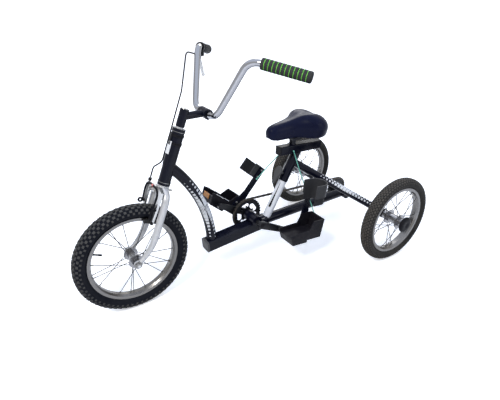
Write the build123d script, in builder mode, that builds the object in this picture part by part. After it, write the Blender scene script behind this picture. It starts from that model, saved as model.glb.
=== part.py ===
from build123d import *
from math import atan2, cos, degrees, hypot, pi, radians, sin, tan
import os

os.makedirs("parts", exist_ok=True)

# Adaptive therapy tricycle, millimetres, +X forward, +Y the rider's left, +Z up.
# Stations along the machine are given from the rear axle and moved by fx().
WHEELBASE = 1000
FRONT_R = 203
REAR_R = 182
TRACK = 604
REAR_X = -(WHEELBASE + FRONT_R - REAR_R) / 2

# Wheels: tyre height over the rim flange, rim depth, half widths
FRONT_TYRE_H = 44
REAR_TYRE_H = 39
FRONT_HALF = 25
REAR_HALF = 24
RIM_DEPTH = 15
RIM_HALF = 16
RIM_LIP = 3.5
SPOKES = 20
SPOKE_R = 1.3
SPOKE_SEAT = 2
FRONT_FLANGE = FRONT_R - FRONT_TYRE_H
REAR_FLANGE = REAR_R - REAR_TYRE_H
FRONT_OPEN = FRONT_FLANGE - RIM_DEPTH
REAR_OPEN = REAR_FLANGE - RIM_DEPTH
BEAD_DEPTH = 0.6 * RIM_DEPTH
BEAD_HALF = RIM_HALF - RIM_LIP

# Rear axle from the wheels' middle planes inwards: hub, collar, bearing housing
RUN = 0.05
REAR_AXLE_R = 8.5
HUB_HALF = 49
HUB_R = 19
HUB_FLANGE_Y = 26
HUB_FLANGE_R = 30
CAP_LEN = 13
CAP_R = 26
COLLAR = 5.5
END_PLAY = 0.5
HOUSING_LEN = 30
HOUSING_R = 20
MID_BEARING_R = 23
MID_BEARING_HALF = 32
HUB_IN = TRACK / 2 - HUB_HALF
HUB_OUT = TRACK / 2 + HUB_HALF
COLLAR_IN = HUB_IN - END_PLAY - COLLAR
HOUSING_OUT = COLLAR_IN - 2 * END_PLAY
HOUSING_Y = HOUSING_OUT - HOUSING_LEN / 2

# Steering: distances up the head axis start at the front wheel's level
HEAD_ANGLE = 68
RAKE = 35
CROWN_GAP = 43
CROWN_RISE = 46
HEAD_LEN = 173
HEAD_R = 21
CUP = 12
STEERER_R = 12.7
FRONT_AXLE_R = 5
BLADE_Y = 48
BLADE_R = 12.5
BLADE_TIP_R = 7.5
BEND_D = 110
DROP_R = 13
STEM_R = 15
STEM_RISE = 51
STEM_REACH = 81
CROWN_LOW = FRONT_R + CROWN_GAP
HEAD_LOW = CROWN_LOW + CROWN_RISE
HEAD_HIGH = HEAD_LOW + HEAD_LEN
DROP_IN = BLADE_Y - 5
DROP_OUT = BLADE_Y + 4

# High-rise bar from its clamp: back, out and up to the knee and to the tip
BAR_R = 11.1
BAR_FLAT = 72
BAR_KNEE = (-68, 164, 186)
BAR_TIP = (-181, 311, 149)
BAR_BEND = 42
GRIP_LEN = 150
GRIP_R = 17.5
LEVER_BAND = 18
LEVER_DROP = 40
CABLE_R = 2.5

# Frame tubes
DOWN_R = 19
DOWN_BOW = 36
BEAM_W = 50
BEAM_H = 45
END_CAP = 8
REAR_BEAM_R = 21
SEAT_LOW_R = 17
SEAT_UP_R = 19
SEAT_SPLIT = 331
SEAT_LEAN = 29.1
STAY_R = 15
SADDLE_BEAM = 35
BEAM_X = 280
BEAM_Z = 462
BEAM_LEN = 200
BEAM_TILT = 2.5
PLUG = 4
POST_R = 13.5
POST_X = 314
POST_TOP = BEAM_Z + 44
SADDLE_CLAMP = 10
CLAMP_LEN = 42
CLAMP_WIDE = 58
RAIL_BACK = 104
RAIL_FRONT = 86
RAIL_BACK_Y = 30
RAIL_FRONT_Y = 14
RAIL_R = 4
RAIL_Z = POST_TOP + SADDLE_CLAMP + RAIL_R - 1
SADDLE_BASE = RAIL_Z + RAIL_R

# Drive, set back from the front tyre by a gap and the lower beam's reach
TYRE_GAP = 82
LOW_REACH = 213
BB_X = WHEELBASE - FRONT_R - TYRE_GAP - LOW_REACH
BB_Z = 200
BB_R = 22
BB_HALF = 34
CRANK = 128
CRANK_ANGLE = 28
CRANK_IN = 58
CRANK_OUT = 71
CRANK_SHAFT_R = 8.5
PEDAL_PIN_R = 6
PITCH = 12.7
RING_TEETH = 32
COG_TEETH = 25
CHAIN_Y = -45

# Foot supports, in their own sole frame: s towards the toe, n off the sole
FOOT_IN = 85
FOOT_WIDTH = 80
HEEL_S = -112
TOE_S = 48
SOLE_TOP = 14
HEEL_TOP = 72
WALL = 4
CALF_BAR = 8
CALF_S = -88
CUFF_LOW = 170
CUFF_HIGH = 225
CUFF_FRONT = 36
LEFT_TILT = 6
RIGHT_TILT = 42
FOOT_OUT = FOOT_IN + FOOT_WIDTH
BAR_IN = FOOT_IN - CALF_BAR
CUFF_R = FOOT_WIDTH / 2


def fx(x):
    return REAR_X + x


def head(n, d, y=0):
    """Point at d up the steering axis from the wheel's level, n ahead of it."""
    a = radians(HEAD_ANGLE)
    foot_x = WHEELBASE - RAKE * sin(a)
    foot_z = FRONT_R - RAKE * cos(a)
    return (fx(foot_x - d * cos(a) + n * sin(a)), y, foot_z + d * sin(a) + n * cos(a))


HEAD_UP = (-cos(radians(HEAD_ANGLE)), 0, sin(radians(HEAD_ANGLE)))
HEAD_FWD = (sin(radians(HEAD_ANGLE)), 0, cos(radians(HEAD_ANGLE)))


def rod(a, b, r):
    """Round bar from a to b."""
    span = Vector(*b) - Vector(*a)
    with Locations(Plane(origin=a, z_dir=span).location):
        Cylinder(r, span.length, align=(Align.CENTER, Align.CENTER, Align.MIN))


def cut_rod(a, b, r):
    """Take a round bar from a to b away."""
    span = Vector(*b) - Vector(*a)
    with Locations(Plane(origin=a, z_dir=span).location):
        Cylinder(r, span.length, align=(Align.CENTER, Align.CENTER, Align.MIN), mode=Mode.SUBTRACT)


def across(x, z, y0, y1, r, mode=Mode.ADD):
    """Round bar along Y at a station."""
    with Locations(Location((x, (y0 + y1) / 2, z), (90, 0, 0))):
        Cylinder(r, abs(y1 - y0), mode=mode)


def bends(points, radii):
    """Straight runs joined by an arc at each corner, as one chain of edges."""
    pts = [Vector(*p) for p in points]
    start = pts[0]
    for before, corner, after, radius in zip(pts, pts[1:], pts[2:], radii):
        u = (before - corner).normalized()
        v = (after - corner).normalized()
        half = u.get_angle(v) / 2
        reach = radius / tan(radians(half))
        mid = (u + v).normalized()
        middle = corner + mid * (radius / sin(radians(half)) - radius)
        Line(start, corner + u * reach)
        ThreePointArc(corner + u * reach, middle, corner + v * reach)
        start = corner + v * reach
    Line(start, pts[-1])


def ring(centre, profile):
    """Solid of revolution about Y from (radius, offset) points."""
    with BuildSketch(Plane(origin=centre, x_dir=(1, 0, 0), z_dir=(0, 0, 1))) as section:
        with BuildLine():
            Polyline(*profile, close=True)
        make_face()
    revolve(section.sketch, axis=Axis(centre, (0, 1, 0)))


# Tyre sidewall: share of its height, share of its half width
TYRE_SIDE = [(0.2, 0.84), (0.48, 1.0), (0.75, 0.92), (0.93, 0.6), (1.0, 0.3)]


def tyre_profile(outer, flange, half):
    """One closed tyre section, bead in the rim's channel, out to the lug tips."""
    high = outer - flange
    side = [(flange - BEAD_DEPTH, BEAD_HALF), (flange + 0.05 * high, BEAD_HALF)]
    side += [(flange + up * high, out * half) for up, out in TYRE_SIDE]
    return side + [(r, -y) for r, y in reversed(side)]


def rim_profile(flange, opening):
    side = [(opening, RIM_HALF / 2), (flange - BEAD_DEPTH - 1, RIM_HALF), (flange, RIM_HALF),
            (flange, BEAD_HALF), (flange - BEAD_DEPTH, BEAD_HALF)]
    return side + [(r, -y) for r, y in reversed(side)]


def spokes(centre, flange_r, flange_y, opening, cross):
    """Crossed wire spokes between two hub flanges and the rim."""
    cx, cy, cz = centre
    for i in range(SPOKES):
        side = 1 if i % 2 else -1
        lean = cross if (i // 2) % 2 else -cross
        a = 2 * pi * i / SPOKES
        b = a + lean
        rod((cx + flange_r * cos(a), cy + side * flange_y, cz + flange_r * sin(a)),
            (cx + opening * cos(b), cy + side * 4, cz + opening * sin(b)), SPOKE_R)


FRONT_C = (fx(WHEELBASE), 0, FRONT_R)
LEFT_C = (fx(0), TRACK / 2, REAR_R)
RIGHT_C = (fx(0), -TRACK / 2, REAR_R)

# Tyres and rims
with BuildPart() as front_tyre:
    ring(FRONT_C, tyre_profile(FRONT_R, FRONT_FLANGE, FRONT_HALF))
with BuildPart() as left_tyre:
    ring(LEFT_C, tyre_profile(REAR_R, REAR_FLANGE, REAR_HALF))
with BuildPart() as right_tyre:
    ring(RIGHT_C, tyre_profile(REAR_R, REAR_FLANGE, REAR_HALF))
with BuildPart() as front_rim:
    ring(FRONT_C, rim_profile(FRONT_FLANGE, FRONT_OPEN))
with BuildPart() as left_rim:
    ring(LEFT_C, rim_profile(REAR_FLANGE, REAR_OPEN))
with BuildPart() as right_rim:
    ring(RIGHT_C, rim_profile(REAR_FLANGE, REAR_OPEN))

# Front hub with its spokes, turning on the fixed axle
FRONT_HUB_HALF = DROP_IN - 3
with BuildPart() as front_hub:
    across(FRONT_C[0], FRONT_R, -FRONT_HUB_HALF, FRONT_HUB_HALF, 14)
    for y in (-27, 27):
        across(FRONT_C[0], FRONT_R, y - 1.5, y + 1.5, 25)
    spokes(FRONT_C, 21, 27, FRONT_OPEN + SPOKE_SEAT, 0.5)
    across(FRONT_C[0], FRONT_R, -BLADE_Y, BLADE_Y, FRONT_AXLE_R + RUN, Mode.SUBTRACT)
with BuildPart() as front_axle:
    across(FRONT_C[0], FRONT_R, -DROP_OUT - 10, DROP_OUT + 10, FRONT_AXLE_R)
    for side in (-1, 1):
        across(FRONT_C[0], FRONT_R, side * DROP_OUT, side * (DROP_OUT + 7), 9)

# Rear hubs with spokes and end caps
with BuildPart() as left_hub:
    across(LEFT_C[0], REAR_R, HUB_IN, HUB_OUT, HUB_R)
    for y in (-HUB_FLANGE_Y, HUB_FLANGE_Y):
        across(LEFT_C[0], REAR_R, TRACK / 2 + y - 2, TRACK / 2 + y + 2, HUB_FLANGE_R)
    spokes(LEFT_C, HUB_FLANGE_R - 4, HUB_FLANGE_Y, REAR_OPEN + SPOKE_SEAT, 0.45)
    across(LEFT_C[0], REAR_R, HUB_IN - 1, HUB_OUT + 1, REAR_AXLE_R + RUN, Mode.SUBTRACT)
with BuildPart() as right_hub:
    across(RIGHT_C[0], REAR_R, -HUB_IN, -HUB_OUT, HUB_R)
    for y in (-HUB_FLANGE_Y, HUB_FLANGE_Y):
        across(RIGHT_C[0], REAR_R, -TRACK / 2 + y - 2, -TRACK / 2 + y + 2, HUB_FLANGE_R)
    spokes(RIGHT_C, HUB_FLANGE_R - 4, HUB_FLANGE_Y, REAR_OPEN + SPOKE_SEAT, 0.45)
    across(RIGHT_C[0], REAR_R, -HUB_IN + 1, -HUB_OUT - 1, REAR_AXLE_R, Mode.SUBTRACT)
with BuildPart() as left_cap:
    across(LEFT_C[0], REAR_R, HUB_OUT, HUB_OUT + CAP_LEN, CAP_R)
    fillet(left_cap.edges().filter_by(GeomType.CIRCLE).sort_by(Axis.Y)[-1], 0.4 * CAP_LEN)
with BuildPart() as right_cap:
    across(RIGHT_C[0], REAR_R, -HUB_OUT, -HUB_OUT - CAP_LEN, CAP_R)
    fillet(right_cap.edges().filter_by(GeomType.CIRCLE).sort_by(Axis.Y)[0], 0.4 * CAP_LEN)

# Through axle with its collars
with BuildPart() as rear_axle:
    across(fx(0), REAR_R, -HUB_OUT + 1, HUB_OUT - 1, REAR_AXLE_R)
    for side in (-1, 1):
        across(fx(0), REAR_R, side * COLLAR_IN, side * (COLLAR_IN + COLLAR), 0.75 * HOUSING_R)


def sprocket(cx, cz, teeth, half):
    """Toothed disc on the chain line."""
    pitch_r = PITCH / (2 * sin(pi / teeth))
    with BuildSketch(Plane(origin=(cx, CHAIN_Y + half, cz), x_dir=(1, 0, 0), z_dir=(0, -1, 0))) as disc:
        Circle(pitch_r + 0.25 * PITCH)
        with PolarLocations(pitch_r + 0.28 * PITCH, teeth):
            Circle(0.29 * PITCH, mode=Mode.SUBTRACT)
    extrude(disc.sketch, amount=2 * half)


RING_PITCH_R = PITCH / (2 * sin(pi / RING_TEETH))
COG_PITCH_R = PITCH / (2 * sin(pi / COG_TEETH))
DISC_HALF = 1.5

with BuildPart() as rear_sprocket:
    sprocket(fx(0), REAR_R, COG_TEETH, DISC_HALF)
    across(fx(0), REAR_R, CHAIN_Y - 14, CHAIN_Y + 10, 0.45 * COG_PITCH_R)
    across(fx(0), REAR_R, CHAIN_Y - 15, CHAIN_Y + 11, REAR_AXLE_R, Mode.SUBTRACT)

# Chainring: toothed rim on an open five-arm spider
with BuildPart() as chainring:
    sprocket(fx(BB_X), BB_Z, RING_TEETH, DISC_HALF)
    with BuildSketch(Plane(origin=(fx(BB_X), CHAIN_Y + 3, BB_Z), x_dir=(1, 0, 0), z_dir=(0, -1, 0))):
        with PolarLocations(0.56 * RING_PITCH_R, 5):
            SlotCenterPoint((0, 0), (0, 0.17 * RING_PITCH_R), 0.31 * RING_PITCH_R)
    extrude(amount=6, mode=Mode.SUBTRACT)
    across(fx(BB_X), BB_Z, CHAIN_Y - DISC_HALF, -CRANK_IN, 2 * CRANK_SHAFT_R)
    across(fx(BB_X), BB_Z, CHAIN_Y + 4, -CRANK_IN - 1, CRANK_SHAFT_R, Mode.SUBTRACT)

# Cranks in one forging, with the pedal pins
CR = (cos(radians(CRANK_ANGLE)) * CRANK, sin(radians(CRANK_ANGLE)) * CRANK)
PIN_END = FOOT_OUT - 3 * WALL
with BuildPart() as crank:
    across(fx(BB_X), BB_Z, -CRANK_OUT, CRANK_OUT, CRANK_SHAFT_R)
    for side in (-1, 1):
        px = BB_X - side * CR[0]
        pz = BB_Z - side * CR[1]
        with BuildSketch(Plane(origin=(fx(BB_X), side * CRANK_IN, BB_Z), z_dir=(0, side, 0),
                               x_dir=(-side * CR[0] / CRANK, 0, -side * CR[1] / CRANK))):
            with BuildLine():
                Polyline((0, 15), (CRANK, 11), (CRANK, -11), (0, -15), close=True)
            make_face()
            Circle(15)
            with Locations((CRANK, 0)):
                Circle(11)
        extrude(amount=CRANK_OUT - CRANK_IN)
        across(fx(px), pz, side * CRANK_OUT, side * PIN_END, PEDAL_PIN_R)

# Chain: two plate loops past the teeth, tied by rollers on the straight runs
RUN_DX = BB_X
RUN_DZ = BB_Z - REAR_R
RUN_LEN = hypot(RUN_DX, RUN_DZ)
RUN_TILT = atan2(RUN_DZ, RUN_DX)
WRAP = atan2(RING_PITCH_R - COG_PITCH_R, (RUN_LEN ** 2 - (RING_PITCH_R - COG_PITCH_R) ** 2) ** 0.5)
PLATE = 1.4
PLATE_GAP = 2.2
PLATE_HALF = 4


def chain_loop(grow):
    """Outline of the chain around both sprockets, grown off the pitch line."""
    ra = COG_PITCH_R + grow
    rb = RING_PITCH_R + grow
    up = RUN_TILT + pi / 2 + WRAP
    dn = RUN_TILT - pi / 2 - WRAP
    back = RUN_TILT + pi

    def on(cx, cz, r, t):
        return (cx + r * cos(t), cz + r * sin(t))
    a_up = on(0, REAR_R, ra, up)
    b_up = on(BB_X, BB_Z, rb, up)
    a_dn = on(0, REAR_R, ra, dn)
    b_dn = on(BB_X, BB_Z, rb, dn)
    with BuildLine() as outline:
        Line(a_up, b_up)
        ThreePointArc(b_up, on(BB_X, BB_Z, rb, RUN_TILT), b_dn)
        Line(b_dn, a_dn)
        ThreePointArc(a_dn, on(0, REAR_R, ra, back), a_up)
    return outline.edges()


with BuildPart() as chain:
    for y0 in (CHAIN_Y + PLATE_GAP + PLATE, CHAIN_Y - PLATE_GAP):
        with BuildSketch(Plane(origin=(REAR_X, y0, 0), x_dir=(1, 0, 0), z_dir=(0, -1, 0))) as loop:
            make_face(chain_loop(PLATE_HALF))
            make_face(chain_loop(-PLATE_HALF), mode=Mode.SUBTRACT)
        extrude(amount=PLATE)
    for up in (1, -1):
        t = RUN_TILT + up * (pi / 2 + WRAP)
        for k in range(1, 8):
            f = k / 8
            r = COG_PITCH_R + (RING_PITCH_R - COG_PITCH_R) * f
            across(fx(r * cos(t) + BB_X * f), r * sin(t) + REAR_R + RUN_DZ * f,
                   CHAIN_Y - PLATE_GAP - PLATE, CHAIN_Y + PLATE_GAP + PLATE, 3.2)

# Head tube, headset and the blank badge
BADGE_D = HEAD_LOW + 82
with BuildPart() as head_tube:
    rod(head(0, HEAD_LOW), head(0, HEAD_HIGH), HEAD_R)
    cut_rod(head(0, HEAD_LOW - 1), head(0, HEAD_HIGH + 1), HEAD_R - 4)
with BuildPart() as headset_lower:
    rod(head(0, HEAD_LOW - CUP), head(0, HEAD_LOW), HEAD_R + 1)
    cut_rod(head(0, HEAD_LOW - CUP - 1), head(0, HEAD_LOW + 1), STEERER_R + RUN)
with BuildPart() as headset_upper:
    rod(head(0, HEAD_HIGH), head(0, HEAD_HIGH + CUP), HEAD_R + 1)
    cut_rod(head(0, HEAD_HIGH - 1), head(0, HEAD_HIGH + CUP + 1), STEERER_R + RUN)
with BuildPart() as head_badge:
    rod(head(0, BADGE_D - 24), head(0, BADGE_D + 24), HEAD_R + 1.4)
    cut_rod(head(0, BADGE_D - 25), head(0, BADGE_D + 25), HEAD_R)
    with Locations(Plane(origin=head(HEAD_R, BADGE_D), x_dir=(0, 1, 0), z_dir=HEAD_FWD).location):
        Box(28, 60, 20, mode=Mode.INTERSECT)

# Fork: steerer, crown and two tapered blades, bent forward to the drop-outs
SHOULDER_D = CROWN_LOW + 20
STRAIGHT_D = CROWN_LOW - 18
SHOULDER_R = SHOULDER_D - STRAIGHT_D
SHOULDER_Y = BLADE_Y - SHOULDER_R
STEM_D = HEAD_HIGH + STEM_RISE
STEM_LOW = HEAD_HIGH + CUP + 6
SWEEP = 2 * atan2(RAKE, BEND_D)
SWEEP_R = BEND_D / sin(SWEEP)
with BuildPart() as fork:
    rod(head(0, CROWN_LOW + 16), head(0, STEM_LOW), STEERER_R)
    rod(head(0, CROWN_LOW), head(0, HEAD_LOW - CUP - END_PLAY), HEAD_R)
    for side in (-1, 1):
        with BuildLine(mode=Mode.PRIVATE) as blade:
            ThreePointArc(head(0, SHOULDER_D, side * SHOULDER_Y),
                          head(0, STRAIGHT_D + SHOULDER_R * sin(pi / 4),
                               side * (SHOULDER_Y + SHOULDER_R * cos(pi / 4))),
                          head(0, STRAIGHT_D, side * BLADE_Y))
            Line(head(0, STRAIGHT_D, side * BLADE_Y), head(0, BEND_D, side * BLADE_Y))
        with BuildSketch(Plane(origin=head(0, SHOULDER_D, side * SHOULDER_Y), z_dir=(0, side, 0))):
            Circle(BLADE_R)
        sweep(path=blade.wires()[0])
        for step in range(4):
            turn = SWEEP * step / 3
            along = Vector(*HEAD_FWD) * sin(turn) - Vector(*HEAD_UP) * cos(turn)
            at = head(SWEEP_R * (1 - cos(turn)), BEND_D - SWEEP_R * sin(turn), side * BLADE_Y)
            with BuildSketch(Plane(origin=at, x_dir=(0, 1, 0), z_dir=along)):
                Circle(BLADE_R + (BLADE_TIP_R - BLADE_R) * step / 3)
        loft()
        across(FRONT_C[0], FRONT_R, side * DROP_IN, side * DROP_OUT, DROP_R)
    across(FRONT_C[0], FRONT_R, -2 * BLADE_Y, 2 * BLADE_Y, FRONT_AXLE_R, Mode.SUBTRACT)
    across(FRONT_C[0], FRONT_R, -DROP_IN, DROP_IN, DROP_R + 3, Mode.SUBTRACT)
    for side in (-1, 1):
        across(FRONT_C[0], FRONT_R, side * DROP_OUT, side * 2 * BLADE_Y, DROP_R + 1, Mode.SUBTRACT)

# Quill stem, reaching back to the bar clamp
BAR_X = head(0, STEM_D)[0] - STEM_REACH
BAR_Z = head(0, STEM_D)[2]
with BuildPart() as stem:
    rod(head(0, STEM_LOW), head(0, STEM_D + 26), STEM_R)
    rod(head(0, STEM_D), (BAR_X, 0, BAR_Z), 12.5)
    across(BAR_X, BAR_Z, -24, 24, BAR_R + 6.4)
    across(BAR_X, BAR_Z, -30, 30, BAR_R, Mode.SUBTRACT)

# High-rise bar
BAR_HALF = [(0, BAR_FLAT, 0), BAR_KNEE, BAR_TIP]
BAR_LEFT = [(BAR_X + x, y, BAR_Z + z) for x, y, z in BAR_HALF]
BAR_RIGHT = [(BAR_X + x, -y, BAR_Z + z) for x, y, z in BAR_HALF]
with BuildPart() as handlebar:
    with BuildLine(mode=Mode.PRIVATE) as bar_line:
        bends(list(reversed(BAR_RIGHT)) + BAR_LEFT, [BAR_BEND] * 4)
    with BuildSketch(Plane(origin=BAR_RIGHT[-1], z_dir=Vector(*BAR_RIGHT[-2]) - Vector(*BAR_RIGHT[-1]))):
        Circle(BAR_R)
    sweep(path=bar_line.wires()[0])


def bar_point(side, back):
    """Point on a grip's axis, measured back from the bar's end."""
    tip = Vector(*(BAR_LEFT if side > 0 else BAR_RIGHT)[-1])
    knee = Vector(*(BAR_LEFT if side > 0 else BAR_RIGHT)[-2])
    p = tip + (knee - tip).normalized() * back
    return (p.X, p.Y, p.Z)


# Foam grip on the left, a shorter one on the right beside the lever's band
BAND_AT = GRIP_LEN - LEVER_BAND
with BuildPart() as grip_left:
    rod(bar_point(1, -4), bar_point(1, GRIP_LEN), GRIP_R)
    cut_rod(bar_point(1, 0), bar_point(1, GRIP_LEN + 1), BAR_R)
with BuildPart() as grip_right:
    rod(bar_point(-1, -4), bar_point(-1, BAND_AT - 1), GRIP_R)
    cut_rod(bar_point(-1, 0), bar_point(-1, BAND_AT), BAR_R)

# Brake lever hanging from a band beside the right grip
HANG = Vector(0.2, 0, -1).normalized()
BLADE_DIR = Vector(-0.3, -0.2, -0.9).normalized()
INWARD = (Vector(*bar_point(-1, GRIP_LEN)) - Vector(*bar_point(-1, 0))).normalized()
with BuildPart() as brake_lever:
    rod(bar_point(-1, BAND_AT), bar_point(-1, GRIP_LEN), BAR_R + 5)
    cut_rod(bar_point(-1, BAND_AT - 1), bar_point(-1, GRIP_LEN + 1), BAR_R)
    root = Vector(*bar_point(-1, BAND_AT + 0.6 * LEVER_BAND))
    elbow = root + HANG * LEVER_DROP
    barrel = root + HANG * (LEVER_DROP - 12)
    rod(tuple(root + HANG * (BAR_R + 2)), tuple(elbow), 7.5)
    rod(tuple(elbow - HANG * 4), tuple(elbow + BLADE_DIR * 66), 5)
    rod(tuple(barrel), tuple(barrel + INWARD * 16), 4.5)
    cable_start = barrel + INWARD * 17.2

# Side-pull caliper: two plate arms on one pivot, outlined as out, up the head axis
ARM = 8
ARM_REAR = HEAD_R - 4
PIVOT_D = CROWN_LOW + 16
PAD_D = (FRONT_FLANGE + FRONT_OPEN) / 2
PAD_IN = RIM_HALF + 3
PAD_OUT = PAD_IN + 11
BARREL_Y = -46
BARREL_D = PIVOT_D + 22
BARREL_N = ARM_REAR + 1.5 * ARM + 1
ARM_OUTLINE = [(-13, PIVOT_D - 10), (-9, PIVOT_D + 11), (22, PIVOT_D + 13), (51, PIVOT_D + 2),
               (46, PIVOT_D - 70), (PAD_OUT + 10, PAD_D - 6), (PAD_OUT + 0.3, PAD_D - 6),
               (PAD_OUT + 3, PIVOT_D - 60), (PAD_OUT + 1, PIVOT_D - 20), (16, PIVOT_D - 10)]
with BuildPart() as brake_caliper:
    for side, ahead in ((1, ARM_REAR), (-1, ARM_REAR + ARM + 1)):
        with BuildSketch(Plane(origin=head(ahead, 0), x_dir=(0, 1, 0), z_dir=HEAD_FWD)) as arm:
            with BuildLine():
                Polyline(*[(side * y, d) for y, d in ARM_OUTLINE], close=True)
            make_face()
        extrude(arm.sketch, amount=ARM)
    rod(head(HEAD_R - 9, PIVOT_D), head(ARM_REAR + 2 * ARM + 7, PIVOT_D), 6)
    rod(head(BARREL_N, PIVOT_D - 6, BARREL_Y), head(BARREL_N, BARREL_D, BARREL_Y), 4.6)
    cut_rod(head(0, CROWN_LOW - 20), head(0, HEAD_LOW), HEAD_R)
with BuildPart() as brake_pads:
    for side in (-1, 1):
        with Locations(Plane(origin=head(ARM_REAR + ARM, PAD_D, side * (PAD_IN + PAD_OUT) / 2),
                             x_dir=HEAD_FWD, z_dir=HEAD_UP).location):
            Box(42, PAD_OUT - PAD_IN, 11)

# Brake cable: out of the lever in a loop, down beside stem and head tube to the caliper
with BuildPart() as brake_cable:
    cable_pts = [tuple(cable_start), (fx(676), -152, 842), (fx(735), -82, 730), head(18, 475, -19),
                 head(18, 352, -19), head(BARREL_N, 322, BARREL_Y), head(BARREL_N, BARREL_D + 0.4, BARREL_Y)]
    with BuildLine(mode=Mode.PRIVATE) as cable_line:
        bends(cable_pts, [24, 120, 60, 30, 22])
    with BuildSketch(Plane(origin=cable_pts[0], z_dir=Vector(*cable_pts[1]) - Vector(*cable_pts[0]))):
        Circle(CABLE_R)
    sweep(path=cable_line.wires()[0])

# Lower beam under the bottom bracket shell, with its end cap
LOW_A = (BB_X + LOW_REACH, BB_Z - 50)
LOW_B = (BB_X - 62, BB_Z - 28)
LOW_TILT = degrees(atan2(LOW_B[1] - LOW_A[1], LOW_A[0] - LOW_B[0]))
LOW_MID = (fx((LOW_A[0] + LOW_B[0]) / 2), 0, (LOW_A[1] + LOW_B[1]) / 2)
LOW_LEN = hypot(LOW_A[0] - LOW_B[0], LOW_A[1] - LOW_B[1])
LOW_LOC = Location(LOW_MID, (0, LOW_TILT, 0))
with BuildPart() as bottom_bracket:
    across(fx(BB_X), BB_Z, -BB_HALF, BB_HALF, BB_R)
    across(fx(BB_X), BB_Z, -BB_HALF - 1, BB_HALF + 1, CRANK_SHAFT_R + RUN, Mode.SUBTRACT)
with BuildPart() as lower_beam:
    with Locations(LOW_LOC):
        Box(LOW_LEN, BEAM_W, BEAM_H)
    fillet(lower_beam.edges().filter_by(lambda e: abs(e.length - LOW_LEN) < 0.01), 6)
    across(fx(BB_X), BB_Z, -2 * BB_HALF, 2 * BB_HALF, BB_R, Mode.SUBTRACT)
with BuildPart() as beam_end_cap:
    with Locations(LOW_LOC * Location((LOW_LEN / 2 + END_CAP / 2, 0, 0))):
        Box(END_CAP, BEAM_W, BEAM_H)
    fillet(beam_end_cap.edges().filter_by(lambda e: abs(e.length - END_CAP) < 0.01), 6)

# Curved down tube between the head tube and the lower beam
DOWN_TOP = Vector(*head(-8, HEAD_LOW + 50))
DOWN_LOW = Vector(fx(LOW_A[0] - 21), 0, LOW_A[1] + 10)
DOWN_SPAN = DOWN_TOP - DOWN_LOW
DOWN_MID = (DOWN_TOP + DOWN_LOW) * 0.5 + Vector(-DOWN_SPAN.Z, 0, DOWN_SPAN.X).normalized() * DOWN_BOW
with BuildPart() as down_tube:
    with BuildLine(mode=Mode.PRIVATE) as down_line:
        ThreePointArc(tuple(DOWN_TOP), tuple(DOWN_MID), tuple(DOWN_LOW))
    with BuildSketch(Plane(origin=down_line.edges()[0] @ 0, z_dir=down_line.edges()[0] % 0)):
        Circle(DOWN_R)
    sweep(path=down_line.edges()[0])
    cut_rod(head(0, HEAD_LOW - 90), head(0, HEAD_HIGH + 90), HEAD_R)
    with Locations(LOW_LOC * Location((0, 0, -100))):
        Box(LOW_LEN + 60, BEAM_W + 40, BEAM_H + 200, mode=Mode.SUBTRACT)

# Rear beam to the middle axle bearing
REAR_BEAM = ((fx(BB_X - 32), 0, BB_Z - 24), (fx(0), 0, REAR_R))
with BuildPart() as axle_bearing:
    across(fx(0), REAR_R, -MID_BEARING_HALF, MID_BEARING_HALF, MID_BEARING_R)
    across(fx(0), REAR_R, -MID_BEARING_HALF - 1, MID_BEARING_HALF + 1, REAR_AXLE_R + RUN, Mode.SUBTRACT)
with BuildPart() as rear_beam:
    rod(*REAR_BEAM, REAR_BEAM_R)
    across(fx(0), REAR_R, -2 * MID_BEARING_HALF, 2 * MID_BEARING_HALF, MID_BEARING_R, Mode.SUBTRACT)
    with Locations(Location((fx(-30), 0, REAR_R))):
        Box(60, 100, 100, mode=Mode.SUBTRACT)
    with Locations(LOW_LOC):
        Box(LOW_LEN, BEAM_W, BEAM_H, mode=Mode.SUBTRACT)
    across(fx(BB_X), BB_Z, -2 * BB_HALF, 2 * BB_HALF, BB_R, Mode.SUBTRACT)


def seat_at(z):
    """Point on the leaning seat tube's axis."""
    return (fx(BEAM_X + 9 + (BEAM_Z - 12 - z) * tan(radians(SEAT_LEAN))), 0, z)


# Seat tube in two stages, with the clamp's paddle handle in front
BEAM_LOC = Location((fx(BEAM_X), 0, BEAM_Z), (0, -BEAM_TILT, 0))
SEAT_UP = Vector(-sin(radians(SEAT_LEAN)), 0, cos(radians(SEAT_LEAN)))
SEAT_OUT = Vector(cos(radians(SEAT_LEAN)), 0, sin(radians(SEAT_LEAN)))
KNOB_Z = SEAT_SPLIT + 24
with BuildPart() as seat_tube:
    rod(seat_at(BB_Z - 30), seat_at(SEAT_SPLIT), SEAT_LOW_R)
    cut_rod(*REAR_BEAM, REAR_BEAM_R)
    across(fx(BB_X), BB_Z, -2 * BB_HALF, 2 * BB_HALF, BB_R, Mode.SUBTRACT)
    with Locations(LOW_LOC):
        Box(LOW_LEN, BEAM_W, BEAM_H, mode=Mode.SUBTRACT)
with BuildPart() as seat_pillar:
    rod(seat_at(SEAT_SPLIT), seat_at(BEAM_Z + 8), SEAT_UP_R)
    with Locations(BEAM_LOC * Location((0, 0, 60))):
        Box(BEAM_LEN + 80, 80, SADDLE_BEAM + 120, mode=Mode.SUBTRACT)
with BuildPart(mode=Mode.PRIVATE) as paddle:
    with BuildSketch():
        Ellipse(18, 24)
        with BuildLine():
            Polyline((-13, -12), (13, -12), (5, -50), (-5, -50), close=True)
        make_face()
    extrude(amount=9)
    fillet(paddle.faces().sort_by(Axis.Z)[-1].edges(), 2)
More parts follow.
